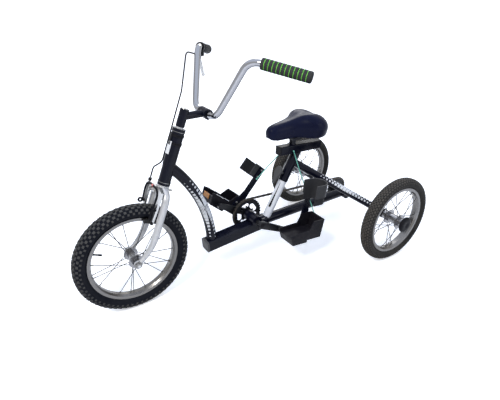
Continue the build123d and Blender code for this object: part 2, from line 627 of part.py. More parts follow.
with BuildPart() as clamp_knob:
    base = Vector(*seat_at(KNOB_Z))
    rod(tuple(base + SEAT_OUT * 10), tuple(base + SEAT_OUT * 42), 5)
    with Locations(Plane(origin=tuple(base + SEAT_OUT * 40), x_dir=(0, 1, 0), z_dir=tuple(SEAT_OUT)).location):
        add(paddle.part)
    cut_rod(seat_at(SEAT_SPLIT - 30), seat_at(BEAM_Z), SEAT_UP_R)

# Splayed stays and their axle bearings
STAY_Z = BEAM_Z - 54


def stay(side):
    rod(seat_at(STAY_Z), (fx(0), side * HOUSING_Y, REAR_R + 4), STAY_R)
    cut_rod(seat_at(STAY_Z - 90), seat_at(STAY_Z + 70), SEAT_UP_R)
    across(fx(0), REAR_R, side * (HOUSING_Y - 2 * HOUSING_LEN), side * (HOUSING_Y + 2 * HOUSING_LEN),
           HOUSING_R, Mode.SUBTRACT)
    with Locations(Location((fx(BEAM_X / 2), -side * BEAM_X, STAY_Z))):
        Box(2 * BEAM_X, 2 * BEAM_X, 2 * BEAM_X, mode=Mode.SUBTRACT)


with BuildPart() as stay_left:
    stay(1)
with BuildPart() as stay_right:
    stay(-1)
with BuildPart() as housing_left:
    across(fx(0), REAR_R, HOUSING_OUT - HOUSING_LEN, HOUSING_OUT, HOUSING_R)
    across(fx(0), REAR_R, HOUSING_OUT - HOUSING_LEN - 1, HOUSING_OUT + 1, REAR_AXLE_R + RUN, Mode.SUBTRACT)
with BuildPart() as housing_right:
    across(fx(0), REAR_R, HOUSING_LEN - HOUSING_OUT, -HOUSING_OUT, HOUSING_R)
    across(fx(0), REAR_R, HOUSING_LEN - HOUSING_OUT + 1, -HOUSING_OUT - 1, REAR_AXLE_R + RUN, Mode.SUBTRACT)

# Saddle beam, plugs, post, clamp and saddle
with BuildPart() as saddle_beam:
    with Locations(BEAM_LOC):
        Box(BEAM_LEN, SADDLE_BEAM, SADDLE_BEAM)
    fillet(saddle_beam.edges().filter_by(lambda e: abs(e.length - BEAM_LEN) < 0.01), 4)
with BuildPart() as beam_plug_front:
    with Locations(BEAM_LOC * Location((BEAM_LEN / 2 + PLUG / 2, 0, 0))):
        Box(PLUG, SADDLE_BEAM - 1, SADDLE_BEAM - 1)
with BuildPart() as beam_plug_rear:
    with Locations(BEAM_LOC * Location((-BEAM_LEN / 2 - PLUG / 2, 0, 0))):
        Box(PLUG, SADDLE_BEAM - 1, SADDLE_BEAM - 1)
with BuildPart() as seat_post:
    rod((fx(POST_X), 0, BEAM_Z + 8), (fx(POST_X), 0, POST_TOP), POST_R)
    with Locations(BEAM_LOC):
        Box(BEAM_LEN, 2 * SADDLE_BEAM, SADDLE_BEAM, mode=Mode.SUBTRACT)
with BuildPart() as saddle_clamp:
    with Locations(Location((fx(POST_X), 0, POST_TOP + SADDLE_CLAMP / 2))):
        Box(CLAMP_LEN, CLAMP_WIDE, SADDLE_CLAMP)
    for side in (-1, 1):
        rod((fx(POST_X - RAIL_BACK), side * RAIL_BACK_Y, RAIL_Z),
            (fx(POST_X + RAIL_FRONT), side * RAIL_FRONT_Y, RAIL_Z), RAIL_R)

# Saddle sections: ahead of the post, width, height, middle over the rails
SADDLE = [(-130, 96, 44, 34), (-110, 166, 78, 37), (-64, 186, 92, 40), (-8, 132, 86, 36),
          (50, 78, 62, 28), (98, 58, 52, 24), (122, 34, 30, 22)]
with BuildPart() as saddle:
    for ahead, wide, high, up in SADDLE:
        with BuildSketch(Plane(origin=(fx(POST_X + ahead), 0, SADDLE_BASE + up), x_dir=(0, 1, 0), z_dir=(1, 0, 0))):
            Ellipse(wide / 2, high / 2)
    loft()
    with Locations(Location((fx(POST_X), 0, SADDLE_BASE - 50))):
        Box(320, 260, 100, mode=Mode.SUBTRACT)


def sole_frame(side, tilt, y):
    """Plane of a foot support's profile, on its pedal pin."""
    a = radians(tilt)
    return Plane(origin=(fx(BB_X - side * CR[0]), y, BB_Z - side * CR[1]),
                 x_dir=(cos(a), 0, sin(a)), z_dir=(0, -1, 0))


def sole_point(side, tilt, s, n, y):
    a = radians(tilt)
    return (fx(BB_X - side * CR[0] + s * cos(a) - n * sin(a)), y, BB_Z - side * CR[1] + s * sin(a) + n * cos(a))


# Foot supports: pedal block in front, open tray with side walls, ribbed heel wall
TOE_FACE = [(TOE_S - 18, -18), (TOE_S, 28)]


def foot_support(side, tilt):
    high = max(side * FOOT_IN, side * FOOT_OUT)
    with BuildSketch(sole_frame(side, tilt, high)) as shell:
        with BuildLine():
            Polyline((HEEL_S, -8), (-42, -8), (-42, -18), *TOE_FACE, (TOE_S - 14, 30), (-46, 34),
                     (-64, HEEL_TOP), (HEEL_S - 9, HEEL_TOP), close=True)
        make_face()
    extrude(shell.sketch, amount=FOOT_WIDTH)
    with BuildSketch(sole_frame(side, tilt, high - WALL)) as inside:
        with BuildLine():
            Polyline((HEEL_S + WALL, SOLE_TOP), (TOE_S + 20, SOLE_TOP), (TOE_S + 20, 2 * HEEL_TOP),
                     (HEEL_S + WALL - 20, 2 * HEEL_TOP), close=True)
        make_face()
    extrude(inside.sketch, amount=FOOT_WIDTH - 2 * WALL, mode=Mode.SUBTRACT)
    for k in range(6):
        with BuildSketch(sole_frame(side, tilt, high - WALL - (k + 0.5) * (FOOT_WIDTH - 2 * WALL) / 6 + 2)) as rib:
            with BuildLine():
                Polyline((HEEL_S + WALL - 2, SOLE_TOP + 6), (HEEL_S + WALL + 1, SOLE_TOP + 6),
                         (HEEL_S + WALL - 5, HEEL_TOP - 4), (HEEL_S + WALL - 9, HEEL_TOP - 4), close=True)
            make_face()
        extrude(rib.sketch, amount=4)
    pin = sole_point(side, tilt, 0, 0, 0)
    across(pin[0], pin[2], side * (FOOT_IN - 2), side * (PIN_END + 1), PEDAL_PIN_R + RUN, Mode.SUBTRACT)


def calf_bar(side, tilt):
    """Flat upright on the inner wall, broad at the heel."""
    high = max(side * BAR_IN, side * FOOT_IN)
    with BuildSketch(sole_frame(side, tilt, high)) as strip:
        with BuildLine():
            Polyline((CALF_S - 20, -6), (CALF_S + 30, -6), (CALF_S + 22, 60), (CALF_S + 12, 104),
                     (CALF_S + 12, CUFF_HIGH - 4), (CALF_S - 12, CUFF_HIGH - 4), (CALF_S - 12, 104), close=True)
        make_face()
    extrude(strip.sketch, amount=CALF_BAR)


def calf_cuff(side, tilt):
    """Half-round shell round the calf, open to the front."""
    mid = side * (FOOT_IN + CUFF_R)
    a = radians(tilt)
    base = sole_point(side, tilt, CALF_S, CUFF_LOW, mid)
    with BuildSketch(Plane(origin=base, x_dir=(cos(a), 0, sin(a)), z_dir=(-sin(a), 0, cos(a)))) as wall:
        Circle(CUFF_R)
        with Locations((CUFF_FRONT / 2, 0)):
            Rectangle(CUFF_FRONT, 2 * CUFF_R)
        Circle(CUFF_R - WALL, mode=Mode.SUBTRACT)
        with Locations((CUFF_R, 0)):
            Rectangle(2 * CUFF_R, 2 * CUFF_R - 2 * WALL, mode=Mode.SUBTRACT)
        with Locations((CUFF_FRONT + CUFF_R, 0)):
            Rectangle(2 * CUFF_R, 3 * CUFF_R, mode=Mode.SUBTRACT)
    extrude(wall.sketch, amount=CUFF_HIGH - CUFF_LOW)


with BuildPart() as foot_support_left:
    foot_support(1, LEFT_TILT)
with BuildPart() as foot_support_right:
    foot_support(-1, RIGHT_TILT)
with BuildPart() as calf_bar_left:
    calf_bar(1, LEFT_TILT)
with BuildPart() as calf_bar_right:
    calf_bar(-1, RIGHT_TILT)
with BuildPart() as calf_cuff_left:
    calf_cuff(1, LEFT_TILT)
with BuildPart() as calf_cuff_right:
    calf_cuff(-1, RIGHT_TILT)

# Amber reflector on the right support's sloping toe
with BuildPart() as foot_reflector:
    with BuildSketch(sole_frame(-1, RIGHT_TILT, -FOOT_IN - 22)):
        with BuildLine():
            Polyline((TOE_S - 12, -2.67), (TOE_S - 5, 15.22), (TOE_S - 2, 14.05), (TOE_S - 9, -3.84), close=True)
        make_face()
    extrude(amount=40)

# Elastic return cords from the saddle beam to the supports
LEFT_HEEL = sole_point(1, LEFT_TILT, HEEL_S - 13.2, HEEL_TOP - 6, FOOT_IN + 10)
with BuildPart() as elastic_cord_left:
    with BuildLine(mode=Mode.PRIVATE) as cord_line:
        bends([(fx(POST_X + 8), SADDLE_BEAM / 2 + 2.3, BEAM_Z - 12), (fx(288), 58, 318), LEFT_HEEL], [90])
    with BuildSketch(Plane(origin=cord_line.edges()[0] @ 0, z_dir=cord_line.edges()[0] % 0)):
        Circle(2)
    sweep(path=cord_line.wires()[0])
with BuildPart() as elastic_cord_right:
    reach = BEAM_LEN / 2 - 10
    under = BEAM_Z + reach * sin(radians(BEAM_TILT)) - SADDLE_BEAM / 2 - 2
    rod((fx(BEAM_X + reach), -10, under), sole_point(-1, RIGHT_TILT, CALF_S, CUFF_LOW + 2, -BAR_IN + 3), 2)

NODES = [
    ("front_tyre", front_tyre), ("left_tyre", left_tyre), ("right_tyre", right_tyre),
    ("front_rim", front_rim), ("left_rim", left_rim), ("right_rim", right_rim),
    ("front_hub", front_hub), ("front_axle", front_axle), ("left_hub", left_hub),
    ("right_hub", right_hub), ("left_cap", left_cap), ("right_cap", right_cap),
    ("rear_axle", rear_axle), ("rear_sprocket", rear_sprocket), ("chainring", chainring),
    ("crank", crank), ("chain", chain), ("head_tube", head_tube), ("headset_lower", headset_lower),
    ("headset_upper", headset_upper), ("head_badge", head_badge), ("fork", fork), ("stem", stem),
    ("handlebar", handlebar), ("grip_left", grip_left), ("grip_right", grip_right),
    ("brake_lever", brake_lever), ("brake_caliper", brake_caliper), ("brake_pads", brake_pads),
    ("brake_cable", brake_cable), ("bottom_bracket", bottom_bracket), ("lower_beam", lower_beam),
    ("beam_end_cap", beam_end_cap), ("down_tube", down_tube), ("axle_bearing", axle_bearing),
    ("rear_beam", rear_beam), ("seat_tube", seat_tube), ("seat_pillar", seat_pillar),
    ("clamp_knob", clamp_knob), ("stay_left", stay_left), ("stay_right", stay_right),
    ("housing_left", housing_left), ("housing_right", housing_right), ("saddle_beam", saddle_beam),
    ("beam_plug_front", beam_plug_front), ("beam_plug_rear", beam_plug_rear), ("seat_post", seat_post),
    ("saddle_clamp", saddle_clamp), ("saddle", saddle), ("foot_support_left", foot_support_left),
    ("foot_support_right", foot_support_right), ("calf_bar_left", calf_bar_left),
    ("calf_bar_right", calf_bar_right), ("calf_cuff_left", calf_cuff_left),
    ("calf_cuff_right", calf_cuff_right), ("foot_reflector", foot_reflector),
    ("elastic_cord_left", elastic_cord_left), ("elastic_cord_right", elastic_cord_right),
]
for label, piece in NODES:
    piece.part.label = label
    export_step(piece.part, "parts/" + label + ".step")
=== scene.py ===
from cmath import phase, rect
from math import asin, atan2, cos, pi, radians, sin, tan

import bmesh
import bpy
from bmesh.types import BMEdge, BMVert
from mathutils import Matrix, Vector


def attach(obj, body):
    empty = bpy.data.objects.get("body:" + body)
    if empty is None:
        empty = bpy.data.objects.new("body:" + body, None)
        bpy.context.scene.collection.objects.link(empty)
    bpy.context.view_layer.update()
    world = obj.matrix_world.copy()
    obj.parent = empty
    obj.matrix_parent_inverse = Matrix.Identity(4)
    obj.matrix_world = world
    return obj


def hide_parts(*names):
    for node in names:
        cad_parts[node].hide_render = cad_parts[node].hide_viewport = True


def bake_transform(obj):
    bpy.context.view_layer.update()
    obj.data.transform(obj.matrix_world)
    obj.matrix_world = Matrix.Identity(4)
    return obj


# Therapy tricycle: looks, tread, trim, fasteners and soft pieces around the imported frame

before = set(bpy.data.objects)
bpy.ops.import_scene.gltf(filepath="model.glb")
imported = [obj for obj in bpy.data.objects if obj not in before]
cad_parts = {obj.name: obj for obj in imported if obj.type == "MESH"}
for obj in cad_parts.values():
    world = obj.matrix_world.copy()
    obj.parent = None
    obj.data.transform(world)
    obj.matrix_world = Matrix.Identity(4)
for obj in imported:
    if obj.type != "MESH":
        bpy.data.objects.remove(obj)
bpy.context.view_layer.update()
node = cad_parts

# Sizes shared with the solids, in millimetres; stations run forward from the rear axle
MM = 0.001
REAR_X = -510.5
WHEELBASE = 1000
FRONT_R = 203
REAR_R = 182
HALF_TRACK = 302
FRONT_OPEN = 144
REAR_OPEN = 128
SPOKES = 20
# Steering: distances up the head axis start at the front wheel's level
HEAD_COS = cos(radians(68))
HEAD_SIN = sin(radians(68))
RAKE = 35
HEAD_LOW = 292
HEAD_HIGH = 465
PIVOT_D = 262
BADGE_D = 374
PAD_D = 151.5
ARM_MID = 25
STEM_D = 516
STEM_REACH = 81
# High-rise bar: back, out and up from its clamp to the knee and to the tip
BAR_FLAT = 72
BAR_R = 11.1
BAR_SWEEP = 50
BAR_KNEE = (-68, 164, 186)
BAR_TIP = (-181, 311, 149)
GRIP_LEN = 150
GRIP_R = 17.5
GRIP_BORE = 11.2
GRIP_OVER = 4
# Frame tubes
DOWN_BOW = 36
DOWN_R = 19
STAY_R = 15
STAY_LEN = 447
STAY_TOP = (312.4, 408)
STAY_LOW_Y = 231
STAY_LOW_UP = 4
SEAT_SLOPE = tan(radians(29.1))
SEAT_AHEAD = 9
SEAT_Z = 450
BEAM_X = 280
POST_X = 314
SADDLE_BASE = 523
# Drive
BB_X = 502
BB_Z = 200
CRANK = 128
CRANK_ANGLE = 28
PITCH = 12.7
RING_TEETH = 32
COG_TEETH = 25
CHAIN_Y = -45
# Foot supports
FOOT_IN = 85
FOOT_WIDTH = 80
CALF_S = -88
CUFF_LOW = 170
CUFF_HIGH = 225
LABEL = {1: "left", -1: "right"}
TILT = {1: 6, -1: 42}


def at(x, y, z):
    """Point from stations in millimetres, x measured from the rear axle."""
    return Vector((REAR_X * MM + x * MM, y * MM, z * MM))


def head(n, d, y=0.0):
    """Point d up the steering axis from the front wheel's level, n ahead of it."""
    foot_x = WHEELBASE - RAKE * HEAD_SIN
    foot_z = FRONT_R - RAKE * HEAD_COS
    return at(foot_x - d * HEAD_COS + n * HEAD_SIN, y, foot_z + d * HEAD_SIN + n * HEAD_COS)


FRONT_C = at(WHEELBASE, 0, FRONT_R)
LEFT_C = at(0, HALF_TRACK, REAR_R)
RIGHT_C = at(0, -HALF_TRACK, REAR_R)
ACROSS = Vector((0, 1, 0))
UPRIGHT = Vector((0, 0, 1))
HEAD_UP = (head(0, 1) - head(0, 0)).normalized()
HEAD_FWD = (head(1, 0) - head(0, 0)).normalized()


# Shader helpers

FLOAT = "NodeSocketFloat"
COLOUR = "NodeSocketColor"
SCRATCH_SCALE = 160.0
SPECK_SCALE = 60.0
GRAIN_SOFT = 0.5


def rgb(r, g, b):
    return (r, g, b, 1.0)


def feed(tree, socket, value):
    """Link a socket to another node's output, or give it a fixed value."""
    if isinstance(value, bpy.types.NodeSocket):
        tree.links.new(value, socket)
    else:
        socket.default_value = value


def settle(tree, made, values):
    """Set a node's inputs and properties by name."""
    for key, value in values.items():
        if key in made.inputs:
            feed(tree, made.inputs[key], value)
        else:
            setattr(made, key, value)


def add_node(tree, kind, **values):
    """New node with its inputs and properties set by name."""
    made = tree.nodes.new("ShaderNode" + kind)
    settle(tree, made, values)
    return made


def new_group(name, inputs, outputs):
    """Empty shader group: inputs by name and default, outputs by name and kind."""
    group = bpy.data.node_groups.new(name, "ShaderNodeTree")
    for label, default in inputs.items():
        kind = COLOUR if isinstance(default, tuple) else FLOAT
        group.interface.new_socket(label, in_out="INPUT", socket_type=kind).default_value = default
    for label, kind in outputs.items():
        group.interface.new_socket(label, in_out="OUTPUT", socket_type=kind)
    return group, group.nodes.new("NodeGroupInput").outputs, group.nodes.new("NodeGroupOutput")


def object_place(tree):
    return add_node(tree, "TexCoord").outputs["Object"]


def math_node(tree, operation, a, b, kind="Math", **more):
    made = add_node(tree, kind, operation=operation, **more)
    feed(tree, made.inputs[0], a)
    feed(tree, made.inputs[1], b)
    return made.outputs[0]


def length_of(tree, vector):
    made = add_node(tree, "VectorMath", operation="LENGTH")
    tree.links.new(vector, made.inputs[0])
    return made.outputs["Value"]


def ramp(tree, value, low, high):
    """Value mapped from low..high to 0..1."""
    ends = {"From Min": low, "From Max": high}
    return add_node(tree, "MapRange", clamp=True, Value=value, **ends).outputs[0]


def mix_colour(tree, factor, a, b):
    made = add_node(tree, "Mix", data_type="RGBA")
    for slot, value in ((0, factor), (6, a), (7, b)):
        feed(tree, made.inputs[slot], value)
    return made.outputs[2]


def mix_shader(tree, factor, a, b, out):
    """Blend two shaders into an output's surface."""
    made = add_node(tree, "MixShader")
    for socket, value in zip(made.inputs, (factor, a.outputs[0], b.outputs[0])):
        tree.links.new(value, socket)
    tree.links.new(made.outputs[0], out.inputs["Surface"])


def marks_group():
    """Handling marks: a cloudy smudge and fine scratches, each from 0 to 1."""
    tree, given, out = new_group("handling_marks", {"Smudge Scale": 14.0},
                                 {"Smudge": FLOAT, "Scratch": FLOAT})
    place = object_place(tree)
    cloud = add_node(tree, "TexNoise", Detail=5.0, Roughness=0.6, Vector=place,
                     Scale=given["Smudge Scale"])
    stretch = add_node(tree, "Mapping", Scale=(1.0, 0.12, 0.35), Rotation=(0.3, 0.6, 0.2),
                       Vector=place)
    hair = add_node(tree, "TexNoise", Detail=3.0, Roughness=0.75,
                    Vector=stretch.outputs["Vector"], Scale=SCRATCH_SCALE)
    settle(tree, out, {"Smudge": ramp(tree, cloud.outputs["Fac"], 0.38, 0.68),
                       "Scratch": ramp(tree, hair.outputs["Fac"], 0.62, 0.74)})
    return tree


def dust_group():
    """Road dust: more of it low down, broken up by a speckle."""
    tree, given, out = new_group(
        "road_dust", {"Colour": rgb(0.02, 0.02, 0.02), "Dust": rgb(0.2, 0.18, 0.15), "Amount": 0.3,
                      "Top": 0.5}, {"Colour": COLOUR})
    place = object_place(tree)
    split = add_node(tree, "SeparateXYZ", Vector=place)
    height = math_node(tree, "DIVIDE", split.outputs["Z"], given["Top"])
    low = math_node(tree, "SUBTRACT", 1.0, height, use_clamp=True)
    speck = add_node(tree, "TexNoise", Detail=6.0, Roughness=0.7, Vector=place,
                     Scale=SPECK_SCALE)
    broken = math_node(tree, "MULTIPLY", ramp(tree, speck.outputs["Fac"], 0.3, 0.72), low)
    mask = math_node(tree, "MULTIPLY", broken, given["Amount"], use_clamp=True)
    tree.links.new(mix_colour(tree, mask, given["Colour"], given["Dust"]), out.inputs["Colour"])
    return tree


def grain_group():
    """Moulded or embossed grain as a height."""
    tree, given, out = new_group("surface_grain", {"Scale": 700.0}, {"Height": FLOAT})
    size = {"Vector": object_place(tree), "Scale": given["Scale"]}
    cells = add_node(tree, "TexVoronoi", feature="SMOOTH_F1", Smoothness=0.6, **size)
    fine = add_node(tree, "TexNoise", Detail=2.0, **size)
    both = add_node(tree, "Mix", Factor=GRAIN_SOFT, A=cells.outputs["Distance"],
                    B=fine.outputs["Fac"])
    tree.links.new(both.outputs[0], out.inputs["Height"])
    return tree


MARKS = marks_group()
DUST = dust_group()
GRAIN = grain_group()

# Finishes: specular levels of dark materials, coat, relief of the grain in metres, scratches' tone
MATT = 0.09
SATIN = 0.14
SHEEN = 0.2
COAT_ROUGH = 0.05
GRAIN_DEPTH = 0.0004
WORN_GAIN = 2.2
WORN_LIFT = 0.04


def finish(name, colour, rough=(0.3, 0.5), metallic=0.0, coat=0.0, scratch=0.0, scratch_colour=None,
           dust=0.0, dust_colour=(0.24, 0.21, 0.18), dust_top=0.5, grain=0.0, grain_scale=700.0,
           smudge_scale=14.0, specular=0.5):
    """Finish with handling marks, optional dust and optional grain."""
    made = bpy.data.materials.new(name)
    made.use_nodes = True
    tree = made.node_tree
    marks = add_node(tree, "Group", node_tree=MARKS, **{"Smudge Scale": smudge_scale})
    worn = scratch_colour or [min(1.0, WORN_GAIN * c + WORN_LIFT) for c in colour]
    faint = math_node(tree, "MULTIPLY", marks.outputs["Scratch"], scratch)
    tone = mix_colour(tree, faint, rgb(*colour), rgb(*worn))
    if dust > 0:
        dirt = add_node(tree, "Group", node_tree=DUST, Colour=tone, Dust=rgb(*dust_colour),
                        Amount=dust, Top=dust_top)
        tone = dirt.outputs["Colour"]
    span = math_node(tree, "MULTIPLY", marks.outputs["Smudge"], rough[1] - rough[0])
    shader = tree.nodes["Principled BSDF"]
    settle(tree, shader, {"Base Color": tone, "Roughness": math_node(tree, "ADD", span, rough[0]),
                          "Metallic": metallic, "Specular IOR Level": specular, "Coat Weight": coat,
                          "Coat Roughness": COAT_ROUGH})
    if grain > 0:
        relief = add_node(tree, "Group", node_tree=GRAIN, Scale=grain_scale)
        bump = add_node(tree, "Bump", Strength=grain, Distance=GRAIN_DEPTH,
                        Height=relief.outputs["Height"])
        tree.links.new(bump.outputs["Normal"], shader.inputs["Normal"])
    return made


# Hubs: the shell ends and the spokes begin between these radii, in metres
SHELL_END = 0.027
WIRE_START = 0.032
WIRE_GREY = rgb(0.06, 0.058, 0.055)


def hub_finish(name, centre):
    """Bright hub shell with duller wire spokes round it."""
    made = finish(name, (0.24, 0.24, 0.25), (0.16, 0.32), metallic=1.0, scratch=0.3, dust=0.1,
                  dust_top=0.4)
    tree = made.node_tree
    tone = tree.nodes["Principled BSDF"].inputs["Base Color"]
    from_hub = math_node(tree, "SUBTRACT", object_place(tree), centre, kind="VectorMath")
    flat = math_node(tree, "MULTIPLY", from_hub, (1, 0, 1), kind="VectorMath")
    wire = ramp(tree, length_of(tree, flat), SHELL_END, WIRE_START)
    tree.links.new(mix_colour(tree, wire, tone.links[0].from_socket, WIRE_GREY), tone)
    return made


FRAME_BLACK = finish("frame_enamel", (0.003, 0.004, 0.011), (0.14, 0.32), coat=0.08, scratch=0.12,
                     dust=0.02, specular=0.1)
BRIGHT_TUBE = finish("bright_enamel", (0.8, 0.81, 0.84), (0.16, 0.3), coat=0.5, scratch=0.2,
                     scratch_colour=(0.4, 0.4, 0.4), dust=0.15, dust_top=0.4)
CHROME = finish("bright_chrome", (0.28, 0.285, 0.305), (0.04, 0.1), metallic=1.0, scratch=0.15)
FORK_SILVER = finish("fork_silver", (0.52, 0.52, 0.525), (0.28, 0.42), metallic=0.3, coat=0.4,
                     scratch=0.2, dust=0.15)
RIM_ALLOY = finish("rim_alloy", (0.15, 0.147, 0.145), (0.22, 0.38), metallic=1.0, scratch=0.3,
                   dust=0.2, dust_top=0.45)
HUB_STEEL = finish("hub_plate", (0.2, 0.2, 0.2), (0.2, 0.36), metallic=1.0, scratch=0.3, dust=0.2,
                   dust_top=0.45)
FRONT_HUB = hub_finish("front_hub_plate", FRONT_C)
LEFT_HUB = hub_finish("left_hub_plate", LEFT_C)
RIGHT_HUB = hub_finish("right_hub_plate", RIGHT_C)
CALIPER_ALLOY = finish("caliper_alloy", (0.5, 0.5, 0.5), (0.22, 0.4), metallic=0.9, scratch=0.2)
BLACK_PLASTIC = finish("black_plastic", (0.006, 0.006, 0.008), (0.38, 0.6), scratch=0.12, grain=0.25,
                       specular=MATT)
GREY_PLASTIC = finish("grey_plastic", (0.075, 0.075, 0.075), (0.45, 0.65), scratch=0.2, grain=0.3,
                      specular=SHEEN)
FOOT_PLASTIC = finish("foot_plastic", (0.005, 0.005, 0.009), (0.35, 0.6), scratch=0.12, dust=0.08,
                      grain=0.3, specular=MATT)
CUFF_PLASTIC = finish("cuff_plastic", (0.042, 0.042, 0.044), (0.4, 0.6), scratch=0.2, grain=0.2,
                      specular=SHEEN)
SADDLE_VINYL = finish("saddle_vinyl", (0.006, 0.008, 0.028), (0.26, 0.34), scratch=0.03, grain=0.2,
                      grain_scale=900.0, specular=0.07)
FRONT_RUBBER = finish("front_rubber", (0.004, 0.005, 0.009), (0.55, 0.75), dust=0.06, dust_top=0.55,
                      grain=0.3, dust_colour=(0.08, 0.075, 0.07), specular=MATT)
FRONT_LUG = finish("front_lug_rubber", (0.07, 0.069, 0.067), (0.7, 0.9), dust=0.5, dust_top=0.6,
                   grain=0.4, dust_colour=(0.1, 0.095, 0.085), specular=MATT)
REAR_RUBBER = finish("rear_rubber", (0.026, 0.025, 0.023), (0.6, 0.8), dust=0.5, dust_top=0.7,
                     grain=0.3, dust_colour=(0.07, 0.062, 0.052), smudge_scale=9.0, specular=MATT)
REAR_LUG = finish("rear_lug_rubber", (0.08, 0.074, 0.066), (0.7, 0.9), dust=0.8, dust_top=0.8,
                  grain=0.4, dust_colour=(0.13, 0.112, 0.09), specular=MATT)
GRIP_RUBBER = finish("grip_rubber", (0.007, 0.007, 0.009), (0.45, 0.65), grain=0.4, specular=SATIN)
FOAM = finish("grip_foam", (0.04, 0.041, 0.041), (0.8, 0.95), grain=0.6, grain_scale=500.0,
              specular=SATIN)
FOAM_RING = finish("grip_ring", (0.2, 0.62, 0.09), (0.6, 0.8), grain=0.3, specular=SHEEN)
CHAIN_STEEL = finish("chain_steel", (0.075, 0.065, 0.055), (0.3, 0.5), metallic=0.8, scratch=0.3)
DRIVE_BLACK = finish("drive_enamel", (0.004, 0.005, 0.008), (0.25, 0.45), coat=0.06, scratch=0.12,
                     dust=0.08, dust_top=0.45, specular=SHEEN)
CABLE_BLACK = finish("cable_housing", (0.008, 0.008, 0.009), (0.3, 0.5), specular=SATIN)
MINT_CORD = finish("mint_elastic", (0.2, 0.56, 0.44), (0.7, 0.9), grain=0.5, grain_scale=1400.0,
                   specular=SHEEN)
BADGE_WHITE = finish("blank_badge", (0.8, 0.8, 0.79), (0.15, 0.3), coat=0.6)
DECAL_WHITE = finish("decal_white", (0.78, 0.79, 0.8), (0.2, 0.35), coat=0.4, scratch=0.2,
                     scratch_colour=(0.3, 0.3, 0.3))
AMBER = finish("amber_reflector", (0.8, 0.27, 0.025), (0.08, 0.2), coat=0.15, grain=0.5,
               grain_scale=500.0, specular=SHEEN)
PAD_RUBBER = finish("pad_rubber", (0.03, 0.03, 0.03), (0.6, 0.8), specular=SATIN)
CUFF_FOAM = finish("cuff_foam", (0.036, 0.036, 0.038), (0.8, 0.95), grain=0.5, grain_scale=600.0,
                   specular=0.15)
RED_CAP = finish("red_cap", (0.45, 0.12, 0.11), (0.3, 0.5), grain=0.2)
# Looks that many pieces share, with their slots
STEEL = (HUB_STEEL, "hub_steel")
PLASTIC = (BLACK_PLASTIC, "black_plastic")

NODE_FINISH = {
    FRAME_BLACK: "head_tube headset_lower headset_upper head_badge stem down_tube lower_beam rear_beam "
                 "bottom_bracket seat_pillar stay_left stay_right axle_bearing housing_left housing_right "
                 "rear_axle saddle_beam seat_post saddle_clamp calf_bar_left calf_bar_right",
    BRIGHT_TUBE: "seat_tube",
    CHROME: "handlebar",
    GREY_PLASTIC: "beam_end_cap clamp_knob",
    BLACK_PLASTIC: "beam_plug_front beam_plug_rear brake_lever left_cap right_cap",
    SADDLE_VINYL: "saddle",
    CHAIN_STEEL: "chain",
    MINT_CORD: "elastic_cord_left elastic_cord_right",
    FORK_SILVER: "fork",
    FOAM: "grip_left",
    GRIP_RUBBER: "grip_right",
    CALIPER_ALLOY: "brake_caliper front_axle",
    PAD_RUBBER: "brake_pads",
    CABLE_BLACK: "brake_cable",
    FRONT_RUBBER: "front_tyre",
    REAR_RUBBER: "left_tyre right_tyre",
    RIM_ALLOY: "front_rim left_rim right_rim",
    FRONT_HUB: "front_hub",
    LEFT_HUB: "left_hub",
    RIGHT_HUB: "right_hub",
    DRIVE_BLACK: "rear_sprocket chainring crank",
    FOOT_PLASTIC: "foot_support_left foot_support_right",
    CUFF_PLASTIC: "calf_cuff_left calf_cuff_right",
    AMBER: "foot_reflector",
}

for look, names in NODE_FINISH.items():
    for name in names.split():
        node[name].data.materials.clear()
        node[name].data.materials.append(look)


# Mesh helpers: sizes are given in millimetres and become metres here


def put_in_scene(name, data):
    made = bpy.data.objects.new(name, data)
    bpy.context.scene.collection.objects.link(made)
    return made


def piece_from(shape, name, look, smooth=True):
    """Object from a finished bmesh, at the origin."""
    mesh = bpy.data.meshes.new(name)
    for face in shape.faces:
        face.smooth = smooth
    shape.to_mesh(mesh)
    shape.free()
    mesh.materials.append(look)
    return put_in_scene(name, mesh)


def add_piece(shape, name, look, slot, body, instead_of=(), smooth=True, crease=None):
    """Finish a bmesh as a piece riding on a body."""
    bmesh.ops.recalc_face_normals(shape, faces=shape.faces)
    made = piece_from(shape, name, look, smooth)
    if crease is not None:
        made.data.set_sharp_from_angle(angle=radians(crease))
    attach(made, body)
    if instead_of:
        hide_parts(*instead_of)
    return made


def only(kind, geom):
    """The vertices or the edges among what an operator returned."""
    return [item for item in geom if isinstance(item, kind)]


def turned(shape, origin, along, profile, steps=32, closed=False):
    """Spin a profile of (radius, distance along) pairs round an axis."""
    known = set(shape.verts)
    along = Vector(along).normalized()
    out = along.orthogonal().normalized()
    points = [shape.verts.new(origin + out * (r * MM) + along * (d * MM)) for r, d in profile]
    edges = [shape.edges.new(pair) for pair in zip(points, points[1:])]
    if closed:
        edges.append(shape.edges.new((points[-1], points[0])))
    bmesh.ops.spin(shape, geom=points + edges, cent=origin, axis=along, angle=2 * pi, steps=steps,
                   use_merge=True)
    fresh = [vert for vert in shape.verts if vert not in known]
    bmesh.ops.remove_doubles(shape, verts=fresh, dist=1e-6)


def prism(shape, outline, vec):
    """Flat outline drawn out along a vector."""
    face = shape.faces.new([shape.verts.new(point) for point in outline])
    grown = bmesh.ops.extrude_face_region(shape, geom=[face])
    bmesh.ops.translate(shape, verts=only(BMVert, grown["geom"]), vec=vec)


